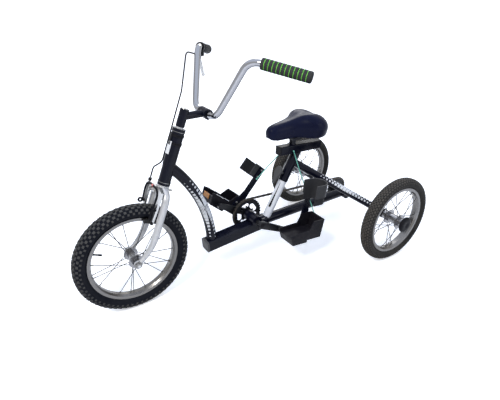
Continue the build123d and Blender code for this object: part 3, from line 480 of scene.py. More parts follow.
def block(shape, place, axes, size, bevel=0.0):
    """Block with its edges eased: place is its middle, axes its three directions."""
    turn = Matrix([list(v.normalized()) for v in axes]).transposed().to_4x4()
    fit = Matrix.Translation(place) @ turn @ Matrix.Diagonal((*size, 1))
    made = bmesh.ops.create_cube(shape, size=MM, matrix=fit)
    if bevel:
        edges = list({edge for vert in made["verts"] for edge in vert.link_edges})
        bmesh.ops.bevel(shape, geom=edges, offset=bevel * MM, offset_type="OFFSET", segments=1, profile=0.5,
                        affect="EDGES", material=-1)


def hex_bolt(shape, place, along, across_flats, height, stud=0.0):
    """Hexagon head with a chamfered top, and a threaded end beyond it."""
    r = across_flats / 2 / cos(pi / 6)
    bolt_head = [(0, -0.2), (r, -0.2), (r, 0.8 * height), (0.82 * r, height), (0, height)]
    turned(shape, place, along, bolt_head, steps=6)
    if stud:
        end = height + stud
        thread = [(0.36 * across_flats, height - 0.3), (0.36 * across_flats, end - 0.6),
                  (0.26 * across_flats, end), (0, end)]
        turned(shape, place, along, thread, steps=14)


def bent_tube(shape, points, bend, radius, sides=28):
    """Tube drawn along straight runs and bent round each corner."""
    way = (points[1] - points[0]).normalized()
    turn = Matrix.Translation(points[0]) @ way.to_track_quat("Z", "Y").to_matrix().to_4x4()
    ring = bmesh.ops.create_circle(shape, cap_ends=False, segments=sides, radius=radius * MM, matrix=turn)
    loop = list({edge for vert in ring["verts"] for edge in vert.link_edges})
    bmesh.ops.contextual_create(shape, geom=loop)
    start = points[0]
    for k in range(1, len(points)):
        stop = points[k]
        cut = 0.0
        if k + 1 < len(points):
            after = (points[k + 1] - stop).normalized()
            corner = way.angle(after)
            cut = bend * MM * tan(corner / 2)
        grown = bmesh.ops.extrude_edge_only(shape, edges=loop)["geom"]
        bmesh.ops.translate(shape, verts=only(BMVert, grown), vec=stop - way * cut - start)
        loop = only(BMEdge, grown)
        if cut:
            axis = way.cross(after).normalized()
            centre = stop - way * cut + axis.cross(way) * (bend * MM)
            spun = bmesh.ops.spin(shape, geom=loop, cent=centre, axis=axis, angle=corner, steps=14,
                                  use_merge=False)
            loop = only(BMEdge, spun["geom_last"])
            start = stop + after * cut
            way = after
    bmesh.ops.contextual_create(shape, geom=loop)


def bent_wire(shape, points, radius):
    """Round wire along a smooth run through control points."""
    curve = bpy.data.curves.new("wire_route", "CURVE")
    curve.dimensions = "3D"
    run = curve.splines.new("NURBS")
    run.points.add(len(points) - 1)
    for target, place in zip(run.points, points):
        target.co = (*place, 1.0)
    run.order_u = 3
    run.use_endpoint_u = True
    run.resolution_u = 10
    curve.bevel_depth = radius * MM
    curve.bevel_resolution = 3
    curve.use_fill_caps = True
    holder = bpy.data.objects.new("wire_route", curve)
    mesh = bpy.data.meshes.new_from_object(holder)
    bpy.data.objects.remove(holder)
    bpy.data.curves.remove(curve)
    shape.from_mesh(mesh)
    bpy.data.meshes.remove(mesh)


# Wheels

# Casing: share of the tyre's height over the rim, share of its half width
CASING = [(-0.06, 0.5), (0.06, 0.55), (0.2, 0.84), (0.36, 0.96), (0.52, 0.985), (0.66, 0.94),
          (0.78, 0.82), (0.86, 0.6), (0.9, 0.32), (0.905, 0.0)]
# Lug rows: offset from the middle, depth below the tread's top, lean, length, width, height, share of a pitch
FRONT_LUGS = [(4.6, 4.2, 6, 10.5, 7.6, 5.0, 0.0), (13.2, 6.6, 27, 9.5, 7.2, 5.0, 0.5),
              (20.2, 12.8, 56, 9.0, 8.0, 4.4, 0.0), (23.6, 21.0, 80, 7.0, 7.5, 2.8, 0.5)]
REAR_LUGS = [(3.4, 3.6, 5, 10.0, 5.4, 4.0, 0.0), (10.2, 4.8, 20, 9.0, 5.4, 4.0, 0.5),
             (16.6, 8.6, 44, 8.5, 6.0, 3.8, 0.0), (21.8, 15.0, 70, 5.5, 5.4, 2.4, 0.5)]
LUG_SUNK = 1.2
FRONT_TYRE = {"outer": FRONT_R, "height": 44, "half": 25, "lugs": FRONT_LUGS, "pitches": 64,
              "looks": (FRONT_RUBBER, FRONT_LUG), "slot": "front_tyre"}
REAR_TYRE = {"outer": REAR_R, "height": 39, "half": 24, "lugs": REAR_LUGS, "pitches": 78,
             "looks": (REAR_RUBBER, REAR_LUG), "slot": "rear_tyre"}
NIPPLE = [(2.6, -1), (2.6, 1.5), (2.0, 2.4), (1.9, 9), (0, 9)]
VALVE = [(4.5, -1), (4.2, 3), (3.0, 6), (2.8, 20), (3.4, 21), (3.4, 31), (2.6, 33), (0, 33)]
NIPPLE_Y = 4


def round_axle(a):
    return Vector((cos(a), 0, sin(a)))


def tyre(name, centre, body, outer, height, half, lugs, pitches, looks, slot):
    """Round casing, and rows of lugs standing on it, staggered from side to side."""
    shape = bmesh.new()
    flange = outer - height
    side = [(flange + up * height, out * half) for up, out in CASING]
    turned(shape, centre, ACROSS, side + [(r, -y) for r, y in reversed(side[:-1])], steps=96, closed=True)
    add_piece(shape, name + "_casing", looks[0], slot, body, (name,))
    shape = bmesh.new()
    for offset, depth, lean, length, width, lug, shift in lugs:
        tip = radians(lean)
        for hand in (-1, 1):
            for k in range(pitches):
                a = 2 * pi * (k + shift + (0.5 if hand > 0 else 0.0)) / pitches
                out = round_axle(a)
                along = Vector((-sin(a), 0, cos(a)))
                normal = out * cos(tip) + Vector((0, hand, 0)) * sin(tip)
                place = centre + out * ((outer - depth) * MM) + Vector((0, hand * offset * MM, 0))
                place += normal * ((lug / 2 - LUG_SUNK) * MM)
                block(shape, place, (along, normal.cross(along), normal), (length, width, lug))
    add_piece(shape, name + "_lugs", looks[1], slot, body, smooth=False)


def wheel_fittings(name, centre, body, rim_open, lean, valve_angle):
    """Spoke nipples round the rim and one valve stem with its cap."""
    shape = bmesh.new()
    for i in range(SPOKES):
        side = 1 if i % 2 else -1
        hand = 1 if (i // 2) % 2 else -1
        out = round_axle(2 * pi * i / SPOKES + hand * lean)
        seat = centre + out * (rim_open * MM) + Vector((0, side * NIPPLE_Y * MM, 0))
        turned(shape, seat, -out, NIPPLE, steps=8)
    add_piece(shape, name + "_nipples", *STEEL, body, crease=40)
    shape = bmesh.new()
    out = round_axle(radians(valve_angle))
    turned(shape, centre + out * (rim_open * MM), -out, VALVE, steps=14)
    add_piece(shape, name + "_valve", *PLASTIC, body, crease=40)


# Wheels: name, centre, body, tyre, then the radius inside the rim, the spokes' lean and the valve's angle
WHEELS = [("front", FRONT_C, "front_wheel", FRONT_TYRE, (FRONT_OPEN, 0.5, 26)),
          ("left", LEFT_C, "left_wheel", REAR_TYRE, (REAR_OPEN, 0.45, 40)),
          ("right", RIGHT_C, "drive_axle", REAR_TYRE, (REAR_OPEN, 0.45, 70))]
for name, centre, body, tread, fittings in WHEELS:
    tyre(name + "_tyre", centre, body, **tread)
for name, centre, body, tread, fittings in WHEELS:
    wheel_fittings(name, centre, body, *fittings)

# Bar and grips: foam with bright rings on the left, ribbed rubber on the right

BAR_CLAMP = head(0, STEM_D) - Vector((STEM_REACH * MM, 0, 0))
# Steps in a grip's profile: distance along it from a ring or rib, height over its radius
GROOVE = [(-2.2, 0), (-1.1, -1.4), (1.1, -1.4), (2.2, 0)]
RING = [(-1.25, -1.6), (-0.8, -0.4), (0.8, -0.4), (1.25, -1.6)]
RIB = [(-3.2, -2.6), (-2, -1.2), (2, -1.2), (3.2, -2.6)]
GRIP_RINGS = 11
RING_START = 9
RING_MARGIN = 14
RIBS = 14
RIB_START = 16
RIB_PITCH = 7.6
RIGHT_GRIP_LEN = 135


def bar_corner(side, place):
    """Corner of the bar, given for the left side."""
    x, y, z = place
    return BAR_CLAMP + Vector((x, side * y, z)) * MM


def bar_point(side, back):
    """Point on a grip's axis, back from the bar's end."""
    tip = bar_corner(side, BAR_TIP)
    return tip + (bar_corner(side, BAR_KNEE) - tip).normalized() * (back * MM)


def grip_steps(steps, mid):
    """Stretch of a grip's profile round the station mid."""
    return [(GRIP_R + rise, mid + along) for along, rise in steps]


def bar():
    half = [(0, BAR_FLAT, 0), BAR_KNEE, BAR_TIP]
    left = [bar_corner(1, place) for place in half]
    right = [bar_corner(-1, place) for place in half]
    shape = bmesh.new()
    bent_tube(shape, right[::-1] + left, BAR_SWEEP, BAR_R)
    add_piece(shape, "bar_tube", CHROME, "chrome", "steering", ("handlebar",), crease=60)


def foam_grip():
    """Left grip with a bright ring in each groove."""
    tip = bar_point(1, -GRIP_OVER)
    along = bar_point(1, 100) - tip
    length = GRIP_LEN + GRIP_OVER
    pitch = (length - RING_MARGIN) / GRIP_RINGS
    mids = [RING_START + (k + 0.5) * pitch for k in range(GRIP_RINGS)]
    profile = [(0, 0), (GRIP_R - 4, 0), (GRIP_R - 1, 1.5), (GRIP_R, 5)]
    for mid in mids:
        profile += grip_steps(GROOVE, mid)
    profile += [(GRIP_R, length - 3), (GRIP_R - 1.5, length), (GRIP_BORE, length)]
    shape = bmesh.new()
    turned(shape, tip, along, profile, steps=40)
    add_piece(shape, "grip_left_foam", FOAM, "foam_grip", "steering", ("grip_left",), crease=50)
    shape = bmesh.new()
    for mid in mids:
        turned(shape, tip, along, grip_steps(RING, mid), steps=40)
    add_piece(shape, "grip_left_rings", FOAM_RING, "foam_grip", "steering", crease=50)


def ribbed_grip():
    """Shorter right grip with raised ribs."""
    tip = bar_point(-1, -GRIP_OVER)
    along = bar_point(-1, 100) - tip
    length = RIGHT_GRIP_LEN
    profile = [(0, 0), (GRIP_R - 3, 0), (GRIP_R - 0.5, 2), (GRIP_R, 6), (GRIP_R - 1, 10)]
    for k in range(RIBS):
        profile += grip_steps(RIB, RIB_START + k * RIB_PITCH)
    profile += [(GRIP_R - 0.6, length - 8), (GRIP_R, length - 5), (GRIP_R, length), (GRIP_BORE, length)]
    shape = bmesh.new()
    turned(shape, tip, along, profile, steps=36)
    add_piece(shape, "grip_right_rubber", GRIP_RUBBER, "black_grip", "steering", ("grip_right",),
              crease=40)


bar()
foam_grip()
ribbed_grip()

# Saddle: moulded foam under vinyl, two rear lobes with a groove between them

# Sections: ahead of the post, half width, top and skirt edge over the rails, groove depth
SADDLE = [(-130, 42, 45, 8, 0), (-122, 68, 58, -6, 3), (-104, 86, 72, -14, 8), (-78, 93, 83, -17, 12),
          (-50, 90, 88, -16, 12), (-26, 74, 84, -12, 9), (-4, 50, 75, -7, 5), (22, 38, 66, -6, 3),
          (54, 33, 60, -7, 1), (86, 30, 55, -8, 0), (108, 26, 49, -5, 0), (120, 18, 41, 2, 0),
          (125, 8, 31, 12, 0)]
SECTION_POINTS = 32
# Shares of a section: height of the widest line, where the wall turns under, width at the skirt's edge
WIDEST = 0.45
TURN_UNDER = 0.75
SKIRT_WIDTH = 0.9
GROOVE_WIDTH = 0.42
UNDERSIDE = 2
POST_CLAMP = [(0, 0), (15, 0), (15, 5), (11, 7), (0, 7)]
RAIL_BOLT = [(0, 0), (6, 0), (6, 5), (0, 5)]
RAIL_BOLTS = ((-86, 26), (-86, -26), (70, 0))


def saddle_ring(shape, ahead, half, top, skirt, groove):
    """One closed section: crowned top with its groove, side wall, hollow underside."""
    points = []
    widest = skirt + WIDEST * (top - skirt)
    base = max(UNDERSIDE, skirt)
    for k in range(SECTION_POINTS):
        a = 2 * pi * k / SECTION_POINTS
        hand = 1 if cos(a) > 0 else -1
        c = abs(cos(a))
        if sin(a) >= 0:
            y = half * c ** 0.8
            dip = max(0.0, 1 - (y / (GROOVE_WIDTH * half + 1)) ** 2) ** 2
            z = widest + (top - widest) * sin(a) ** 0.85 - groove * dip
        elif c > TURN_UNDER:
            wall = (c - TURN_UNDER) / (1 - TURN_UNDER)
            y = half * (SKIRT_WIDTH + (1 - SKIRT_WIDTH) * wall)
            z = skirt + (widest - skirt) * wall ** 0.8
        else:
            y = SKIRT_WIDTH * half * c / TURN_UNDER
            z = skirt + (base - skirt) * (1 - (c / TURN_UNDER) ** 4)
        points.append(shape.verts.new(at(POST_X + ahead, hand * y, SADDLE_BASE + z)))
    return [shape.edges.new(pair) for pair in zip(points, points[1:] + points[:1])]


def saddle():
    """Padded saddle, and the clamp and bolts under it."""
    shape = bmesh.new()
    rings = [saddle_ring(shape, *row) for row in SADDLE]
    for a, b in zip(rings, rings[1:]):
        bmesh.ops.bridge_loops(shape, edges=a + b)
    for end in (rings[0], rings[-1]):
        bmesh.ops.contextual_create(shape, geom=end)
    made = add_piece(shape, "saddle_pad", SADDLE_VINYL, "saddle_vinyl", "frame", ("saddle",))
    soft = made.modifiers.new("crown", "SUBSURF")
    soft.levels = 2
    soft.render_levels = 2
    shape = bmesh.new()
    turned(shape, at(POST_X, 0, SADDLE_BASE - 7), UPRIGHT, POST_CLAMP, steps=20)
    for x, y in RAIL_BOLTS:
        turned(shape, at(POST_X + x, y, SADDLE_BASE - 4), UPRIGHT, RAIL_BOLT, steps=6)
    add_piece(shape, "saddle_bolts", DRIVE_BLACK, "frame_black", "frame", crease=40)


saddle()

# Chain of rollers and paired plates round both sprockets

RING_PITCH_R = PITCH / (2 * sin(pi / RING_TEETH))
COG_PITCH_R = PITCH / (2 * sin(pi / COG_TEETH))
PLATE_R = 3.7
PLATE_THICK = 0.7
INNER_PLATE = 1.9
OUTER_PLATE = 2.9
ROLLER = [(0, -3.6), (1.6, -3.6), (1.6, -1.8), (3.1, -1.8), (3.1, 1.8), (1.6, 1.8), (1.6, 3.6), (0, 3.6)]


def chain_route():
    """Runs of the loop: length, and a function from a distance along the run to x + iz."""
    cog = complex(0, REAR_R)
    ring = complex(BB_X, BB_Z)
    span = abs(ring - cog)
    grow = RING_PITCH_R - COG_PITCH_R
    wrap = atan2(grow, (span ** 2 - grow ** 2) ** 0.5)
    up = phase(ring - cog) + pi / 2 + wrap
    down = phase(ring - cog) - pi / 2 - wrap

    def line(start, end):
        return abs(end - start), lambda s: start + rect(s, phase(end - start))

    def arc(centre, r, start, sweep):
        return r * sweep, lambda s: centre + rect(r, start - s / r)

    return [line(cog + rect(COG_PITCH_R, up), ring + rect(RING_PITCH_R, up)),
            arc(ring, RING_PITCH_R, up, up - down),
            line(ring + rect(RING_PITCH_R, down), cog + rect(COG_PITCH_R, down)),
            arc(cog, COG_PITCH_R, down, 2 * pi - (up - down))]


def chain_pins():
    """Places of the pins, evenly spaced, with an even count."""
    runs = chain_route()
    total = sum(length for length, _ in runs)
    count = 2 * round(total / PITCH / 2)
    pins = []
    for k in range(count):
        s = k * total / count
        for length, place in runs:
            if s <= length:
                pins.append(place(s))
                break
            s -= length
    return pins


def chain():
    """Links with inner and outer plates in turn, and a roller on each pin."""
    pins = chain_pins()
    shape = bmesh.new()
    for k, pin in enumerate(pins):
        link = pins[(k + 1) % len(pins)] - pin
        way = Vector((link.real, 0, link.imag)).normalized()
        rise = Vector((-way.z, 0, way.x))
        for side in (-1, 1):
            y = CHAIN_Y + side * (OUTER_PLATE if k % 2 else INNER_PLATE)
            outline = []
            for end, first in ((0, 90), (abs(link), -90)):
                for a in range(first, first + 181, 45):
                    b = radians(a)
                    reach = way * (end + PLATE_R * cos(b)) + rise * (PLATE_R * sin(b))
                    outline.append(at(pin.real, y, pin.imag) + reach * MM)
            prism(shape, outline, (0, side * PLATE_THICK * MM, 0))
        turned(shape, at(pin.real, CHAIN_Y, pin.imag), ACROSS, ROLLER, steps=8)
    add_piece(shape, "chain_links", CHAIN_STEEL, "chain_steel", "frame", ("chain",), crease=40)


chain()

# Printed squares on the down tube and the stays, as thin patches on the tube

# Squares: start, end and peak as shares of the tube, spacing, smallest and largest half side
DOWN_SQUARES = {"span": (0.2, 0.95, 0.57), "pitch": 15, "sizes": (1.6, 9.6)}
STAY_SQUARES = {"span": (0.3, 0.92, 0.56), "pitch": 14.5, "sizes": (1.8, 6.9)}
DOWN_TOP = head(-8, HEAD_LOW + 50)
DOWN_LOW = at(BB_X + 192, 0, BB_Z - 40)
DOWN_CHORD = (DOWN_TOP - DOWN_LOW).length
DOWN_ARC_R = (DOWN_CHORD ** 2 / 4 + (DOWN_BOW * MM) ** 2) / (2 * DOWN_BOW * MM)
PRINT_RAISED = 0.2
PRINT_STAGGER = 0.02
# Stripe on the seat tube's bright stage: lower and upper end, radius, angle round it, half angle at its foot
STRIPE_LOW = 226
STRIPE_HIGH = 322
STRIPE_R = 17.25
STRIPE_ANGLE = 62
STRIPE_WIDE = 15
STRIPE_STEPS = 6
STRIPE_TAPER = 6.4


def patch(shape, point, radius, t0, t1, a0, a1):
    """Thin patch lying on a tube, between two stations and two angles round it."""
    grid = []
    for i in range(3):
        centre, side, up = point(t0 + (t1 - t0) * i / 2)
        row = []
        for j in range(4):
            a = radians(a0 + (a1 - a0) * j / 3)
            row.append(shape.verts.new(centre + (side * cos(a) + up * sin(a)) * (radius * MM)))
        grid.append(row)
    for low, high in zip(grid, grid[1:]):
        for j in range(3):
            shape.faces.new((low[j], low[j + 1], high[j + 1], high[j]))


def halftone(name, point, radius, length, angles, span, pitch, sizes):
    """Rows of squares that swell to the span's peak and shrink again."""
    shape = bmesh.new()
    start, end, peak = span
    steps = int((end - start) * length / pitch)
    for row, angle in enumerate(angles):
        for k in range(steps):
            t = start + (end - start) * (k + 0.5 * (row % 2)) / steps
            share = (t - start) / (peak - start) if t < peak else (end - t) / (end - peak)
            half = sizes[0] + (sizes[1] - sizes[0]) * share
            wide = half / radius * 180 / pi
            patch(shape, point, radius + PRINT_RAISED + PRINT_STAGGER * (k % 2),
                  t - half / length, t + half / length, angle - wide, angle + wide)
    add_piece(shape, name, DECAL_WHITE, "badge_white", "frame")


def down_tube_at(t):
    """Centre of the down tube from head to beam, with its left and its upper side."""
    chord = (DOWN_LOW - DOWN_TOP).normalized()
    bow = Vector((chord.z, 0, -chord.x))
    hub = (DOWN_TOP + DOWN_LOW) / 2 + bow * (DOWN_BOW * MM - DOWN_ARC_R)
    half = asin(DOWN_CHORD / 2 / DOWN_ARC_R)
    a = half * (2 * t - 1)
    up = bow * cos(a) + chord * sin(a)
    return hub + up * DOWN_ARC_R, ACROSS, up


def stay_at(side):
    """Function from a share of a stay's length to its centre, its outer and its upper side."""
    top = at(STAY_TOP[0], 0, STAY_TOP[1])
    low = at(0, side * STAY_LOW_Y, REAR_R + STAY_LOW_UP)
    along = (low - top).normalized()
    out = Vector((0, side, 0))
    out = (out - along * out.dot(along)).normalized()
    up = along.cross(out) if along.cross(out).z > 0 else out.cross(along)
    return lambda t: (top + (low - top) * t, out, up)


def seat_axis(t):
    """Seat tube's axis along the stripe, with its left and its front."""
    z = STRIPE_LOW + (STRIPE_HIGH - STRIPE_LOW) * t
    centre = at(BEAM_X + SEAT_AHEAD + (SEAT_Z - z) * SEAT_SLOPE, 0, z)
    return centre, ACROSS, Vector((1, 0, SEAT_SLOPE)).normalized()


def seat_stripe():
    """Dark stripe that narrows upwards in steps."""
    shape = bmesh.new()
    for k in range(STRIPE_STEPS):
        wide = STRIPE_WIDE * (1 - k / STRIPE_TAPER)
        patch(shape, seat_axis, STRIPE_R, k / STRIPE_STEPS, (k + 1) / STRIPE_STEPS,
              STRIPE_ANGLE - wide, STRIPE_ANGLE + wide)
    add_piece(shape, "seat_tube_stripe", DRIVE_BLACK, "frame_black", "frame")


for angles, label in (((-35, 27), "left"), ((215, 153), "right")):
    halftone("down_tube_squares_" + label, down_tube_at, DOWN_R, DOWN_CHORD / MM, angles, **DOWN_SQUARES)
for side, label in LABEL.items():
    halftone("stay_squares_" + label, stay_at(side), STAY_R, STAY_LEN, (14, 58), **STAY_SQUARES)
seat_stripe()

# Foot supports: white edge lines on the right one, rivets and cuff linings on both

# Edge lines: distance in from the tray's side, (middle, length) along the sole, width and height
EDGE_IN = 1.2
EDGE_RUNS = ((-28, 26), (10, 40))
EDGE_SECTION = (2.6, 2.4)
# The tray's wall falls from its height at the back over its run
WALL_BACK = -46
WALL_HIGH = 34
WALL_FALL = 4
WALL_RUN = 80
# Rivets: places in the sole's frame, then turned profiles
RIVET_Y = FOOT_IN - 8
SOLE_RIVETS = ((-72, 12), (-100, 12), (-72, 46), (-94, 60))
CUFF_RIVETS = ((CALF_S, 182), (CALF_S, 213))
SOLE_RIVET = [(0, 3), (3, 2.6), (5, 1.2), (5.4, 0), (5.4, -0.4)]
CUFF_RIVET = [(0, 2.6), (2.6, 2.2), (4.4, 1), (4.8, 0), (4.8, -0.4)]
# Cuff linings: outer and inner radius, ends of the straight arms, how far each hangs below its cuff
LINING_RADII = (FOOT_WIDTH / 2 - 4.2, FOOT_WIDTH / 2 - 7.4)
LINING_ARM = (34, 16)
LINING_BELOW_TOP = 3
LINING_DROP = {1: 31, -1: -3}


def sole_point(side, s, n, y):
    """Point in a support's own frame: s to the toe, n off the sole."""
    a = radians(TILT[side])
    c = radians(CRANK_ANGLE)
    x = BB_X - side * CRANK * cos(c) + s * cos(a) - n * sin(a)
    z = BB_Z - side * CRANK * sin(c) + s * sin(a) + n * cos(a)
    return at(x, side * y, z)


def edge_lines(side, axes):
    """White lines along the top of the tray's walls."""
    shape = bmesh.new()
    for y in (FOOT_IN + EDGE_IN, FOOT_IN + FOOT_WIDTH - EDGE_IN):
        for s, length in EDGE_RUNS:
            rise = WALL_HIGH - WALL_FALL * (s - WALL_BACK) / WALL_RUN
            block(shape, sole_point(side, s, rise, y), axes, (length, *EDGE_SECTION), 0.3)
    label = LABEL[side]
    add_piece(shape, "edge_lines_" + label, DECAL_WHITE, "badge_white", "pedal_" + label, crease=30)


def rivets(side):
    """Domed rivets through the heel wall and through the cuff."""
    shape = bmesh.new()
    for places, profile in ((SOLE_RIVETS, SOLE_RIVET), (CUFF_RIVETS, CUFF_RIVET)):
        for s, n in places:
            turned(shape, sole_point(side, s, n, RIVET_Y), (0, -side, 0), profile, steps=16)
    label = LABEL[side]
    add_piece(shape, "support_rivets_" + label, *STEEL, "pedal_" + label, crease=40)


def cuff_lining(side, off):
    """Foam lining bent round the inside of the cuff."""
    shape = bmesh.new()
    mid = FOOT_IN + FOOT_WIDTH / 2
    drop = LINING_DROP[side]
    far, near = LINING_ARM
    section = []
    for r in LINING_RADII:
        bend = [(far, -r), (near, -r)]
        bend += [(-r * sin(radians(a)), -r * cos(radians(a))) for a in range(0, 181, 12)]
        bend += [(near, r), (far, r)]
        section += bend if not section else bend[::-1]
    low = [sole_point(side, CALF_S + s, CUFF_LOW - drop, mid + y) for s, y in section]
    prism(shape, low, off * ((CUFF_HIGH - CUFF_LOW - LINING_BELOW_TOP + drop) * MM))
    label = LABEL[side]
    made = add_piece(shape, "cuff_lining_" + label, CUFF_FOAM, "cuff_plastic", "pedal_" + label, crease=40)


def support_trim(side):
    """Trim of one foot support; only the right one has edge lines."""
    origin = sole_point(side, 0, 0, 0)
    toe = (sole_point(side, 1, 0, 0) - origin).normalized()
    off = (sole_point(side, 0, 1, 0) - origin).normalized()
    if side < 0:
        edge_lines(side, (toe, ACROSS, off))
    rivets(side)
    cuff_lining(side, off)


support_trim(1)
support_trim(-1)

# Head tube: plates thin enough for the cable to pass them when the steering turns

CLIP_BAND = [(20.8, 0), (22.6, 0), (22.6, 9), (20.8, 9)]
HEADSET_RING = [(21.5, 0), (22.5, 0.4), (22.5, 2.0), (21.5, 2.4)]
PLATE_OUTER = 23.2
PLATE_INNER = 20.9
PLATE_STEPS = 4


def head_plate(shape, low, length, spread):
    """Plate curved round the front of the head tube, spread to each side by an angle."""
    section = []
    for r, hand in ((PLATE_OUTER, 1), (PLATE_INNER, -1)):
        for k in range(-PLATE_STEPS, PLATE_STEPS + 1):
            a = radians(hand * k * spread / PLATE_STEPS)
            section.append(head(r * cos(a), low, r * sin(a)))
    prism(shape, section, HEAD_UP * (length * MM))


def head_fittings():
    """Blank badge plate, clip plate with its two bands, bright rings of the headset."""
    shape = bmesh.new()
    head_plate(shape, BADGE_D + 14, 44, 32)
    add_piece(shape, "badge_plate", BADGE_WHITE, "badge_white", "frame", crease=35)

    shape = bmesh.new()
    head_plate(shape, HEAD_HIGH - 46, 40, 20)
    for d in (HEAD_HIGH - 44, HEAD_HIGH - 16):
        turned(shape, head(0, d), HEAD_UP, CLIP_BAND, steps=32, closed=True)
    add_piece(shape, "clip_plate", *PLASTIC, "frame", crease=35)

    shape = bmesh.new()
    for d in (HEAD_HIGH + 0.3, HEAD_LOW - 3):
        turned(shape, head(0, d), HEAD_UP, HEADSET_RING, steps=32, closed=True)
    add_piece(shape, "headset_rings", *STEEL, "frame", crease=50)


head_fittings()

# Brake: lever blade and mount on the bar, spring and bolts round the caliper

LEVER_HANG = Vector((0.2, 0, -1)).normalized()
LEVER_WAY = Vector((-0.3, -0.2, -0.9))
LEVER_DROP = 40
LEVER = [(0, -6), (4, -5.6), (5.6, -2), (5.3, 8), (5.2, 50), (5.7, 60), (6.5, 65), (5.7, 69.5), (0, 71.5)]
MOUNT_DROP = 23
MOUNT_SIZE = (30, 15, 16)
# Spring's route over the caliper: out to the left, up from the pivot; then how far it lies ahead of the axis
SPRING = [(42, -96), (46, -52), (56, -8), (38, 12), (8, 11), (-20, 12), (-44, 4), (-49, -24), (-42, -60)]
SPRING_AHEAD = 38.2
SPRING_R = 3.6
# Clips that hold the spring to the arms: out to the left, ahead of the axis
SPRING_CLIPS = ((43, 31), (-42.5, 35.5))
CLIP_FRONT = 38.5
CLIP_DOWN = 60
RING_MID_R = 6.4
RING_WIRE_R = 3.4
ANCHOR = [(4.5, -4), (6.2, -3), (6.2, 5), (4.5, 6)]
SLEEVE = [(3.4, -5), (4.6, -4), (4.6, 4), (3.4, 5)]


def brake_lever():
    """Lever blade and the mount it hangs from."""
    shape = bmesh.new()
    root = bar_point(-1, GRIP_LEN - 7.2)
    turned(shape, root + LEVER_HANG * (LEVER_DROP * MM), LEVER_WAY, LEVER, steps=16)
    add_piece(shape, "lever_blade", CALIPER_ALLOY, "caliper_alloy", "steering", crease=50)
    shape = bmesh.new()
    along = bar_point(-1, 0) - bar_point(-1, 100)
    aside = along.cross(UPRIGHT)
    place = bar_point(-1, GRIP_LEN - 24) - Vector((0, 0, MOUNT_DROP * MM))
    block(shape, place, (along, aside, aside.cross(along)), MOUNT_SIZE, 3.0)
    add_piece(shape, "lever_mount", *PLASTIC, "steering", crease=40)


def brake_spring():
    """Return spring with its clips, ring, anchor and pad bolts, and the red sleeve on it."""
    shape = bmesh.new()
    bent_wire(shape, [head(SPRING_AHEAD, PIVOT_D + up, y) for y, up in SPRING], SPRING_R)
    for y, n in SPRING_CLIPS:
        block(shape, head(n, PIVOT_D - CLIP_DOWN, y), (HEAD_FWD, ACROSS, HEAD_UP),
              (2 * (CLIP_FRONT - n), 10, 9), 1.0)
    turns = [a * pi / 5 for a in range(10)]
    ring = [(RING_MID_R + RING_WIRE_R * cos(a), RING_WIRE_R * sin(a)) for a in turns]
    turned(shape, head(47, PIVOT_D - CLIP_DOWN, -42), ACROSS, ring, steps=24, closed=True)
    turned(shape, head(30, PIVOT_D + 15, -46), HEAD_UP, ANCHOR, steps=14, closed=True)
    for side in (-1, 1):
        hex_bolt(shape, head(ARM_MID, PAD_D, side * 39), (0, side, 0), 10, 5, 3)
    add_piece(shape, "brake_spring", *PLASTIC, "steering", crease=40)

    shape = bmesh.new()
    turned(shape, head(SPRING_AHEAD, PIVOT_D + 11.3, 4), ACROSS, SLEEVE, steps=14, closed=True)
    add_piece(shape, "spring_sleeve", RED_CAP, "amber", "steering", crease=40)


def pivot_bolt():
    """Caliper's pivot bolt: its head in front, its nut behind the crown."""
    shape = bmesh.new()
    hex_bolt(shape, head(40, PIVOT_D), HEAD_FWD, 11, 5, 3)
    hex_bolt(shape, head(-16, PIVOT_D), -HEAD_FWD, 11, 6, 14)
    add_piece(shape, "pivot_bolt", *STEEL, "steering", crease=30)


brake_lever()
brake_spring()
pivot_bolt()

# Fasteners and covers

WASHER = [(9, 0), (14, 0), (14, 1.6), (9, 1.6)]
STEM_CAP = [(0, 0.2), (3.4, 0.2), (4, 1.8), (11, 1.8), (14.4, 0.9), (14.8, -0.6), (14.8, -3)]
CRANK_CAP = [(0, 2.2), (8, 2.2), (10, 1), (10, -0.3)]
HUB_COVER = [(0, 11.4), (8, 11.4), (10, 12.6), (23, 13), (28, 11.6), (31, 9), (32, 6), (32, 1.6),
             (30.4, 0), (0, 0)]
AXLE_NUT_Y = 52
STEM_TOP = 26
CRANK_CAP_Y = 71
SPIDER_ARMS = 5
SPIDER_R = 30
SPIDER_TURN = 0.3
COVER_Y = 351
COVER_RIBS = 12
COVER_RIB_Y = 355.5
COVER_RIB_R = 31.6
COVER_RIB = (2.4, 7, 5)


def steering_bolts():
    """Washers and nuts of the front axle, cap of the stem, bolts of the bar clamp."""
    shape = bmesh.new()
    for side in (-1, 1):
        turned(shape, at(WHEELBASE, side * AXLE_NUT_Y, FRONT_R), (0, side, 0), WASHER, steps=20, closed=True)
        hex_bolt(shape, at(WHEELBASE, side * (AXLE_NUT_Y + 1.4), FRONT_R), (0, side, 0), 17, 7, 1)
    turned(shape, head(0, STEM_D + STEM_TOP), HEAD_UP, STEM_CAP, steps=24)
    for y in (-12, 12):
        hex_bolt(shape, BAR_CLAMP + Vector((-4, y, -17)) * MM, (-0.2, 0, -1), 10, 4)
    add_piece(shape, "steering_bolts", *STEEL, "steering", crease=30)


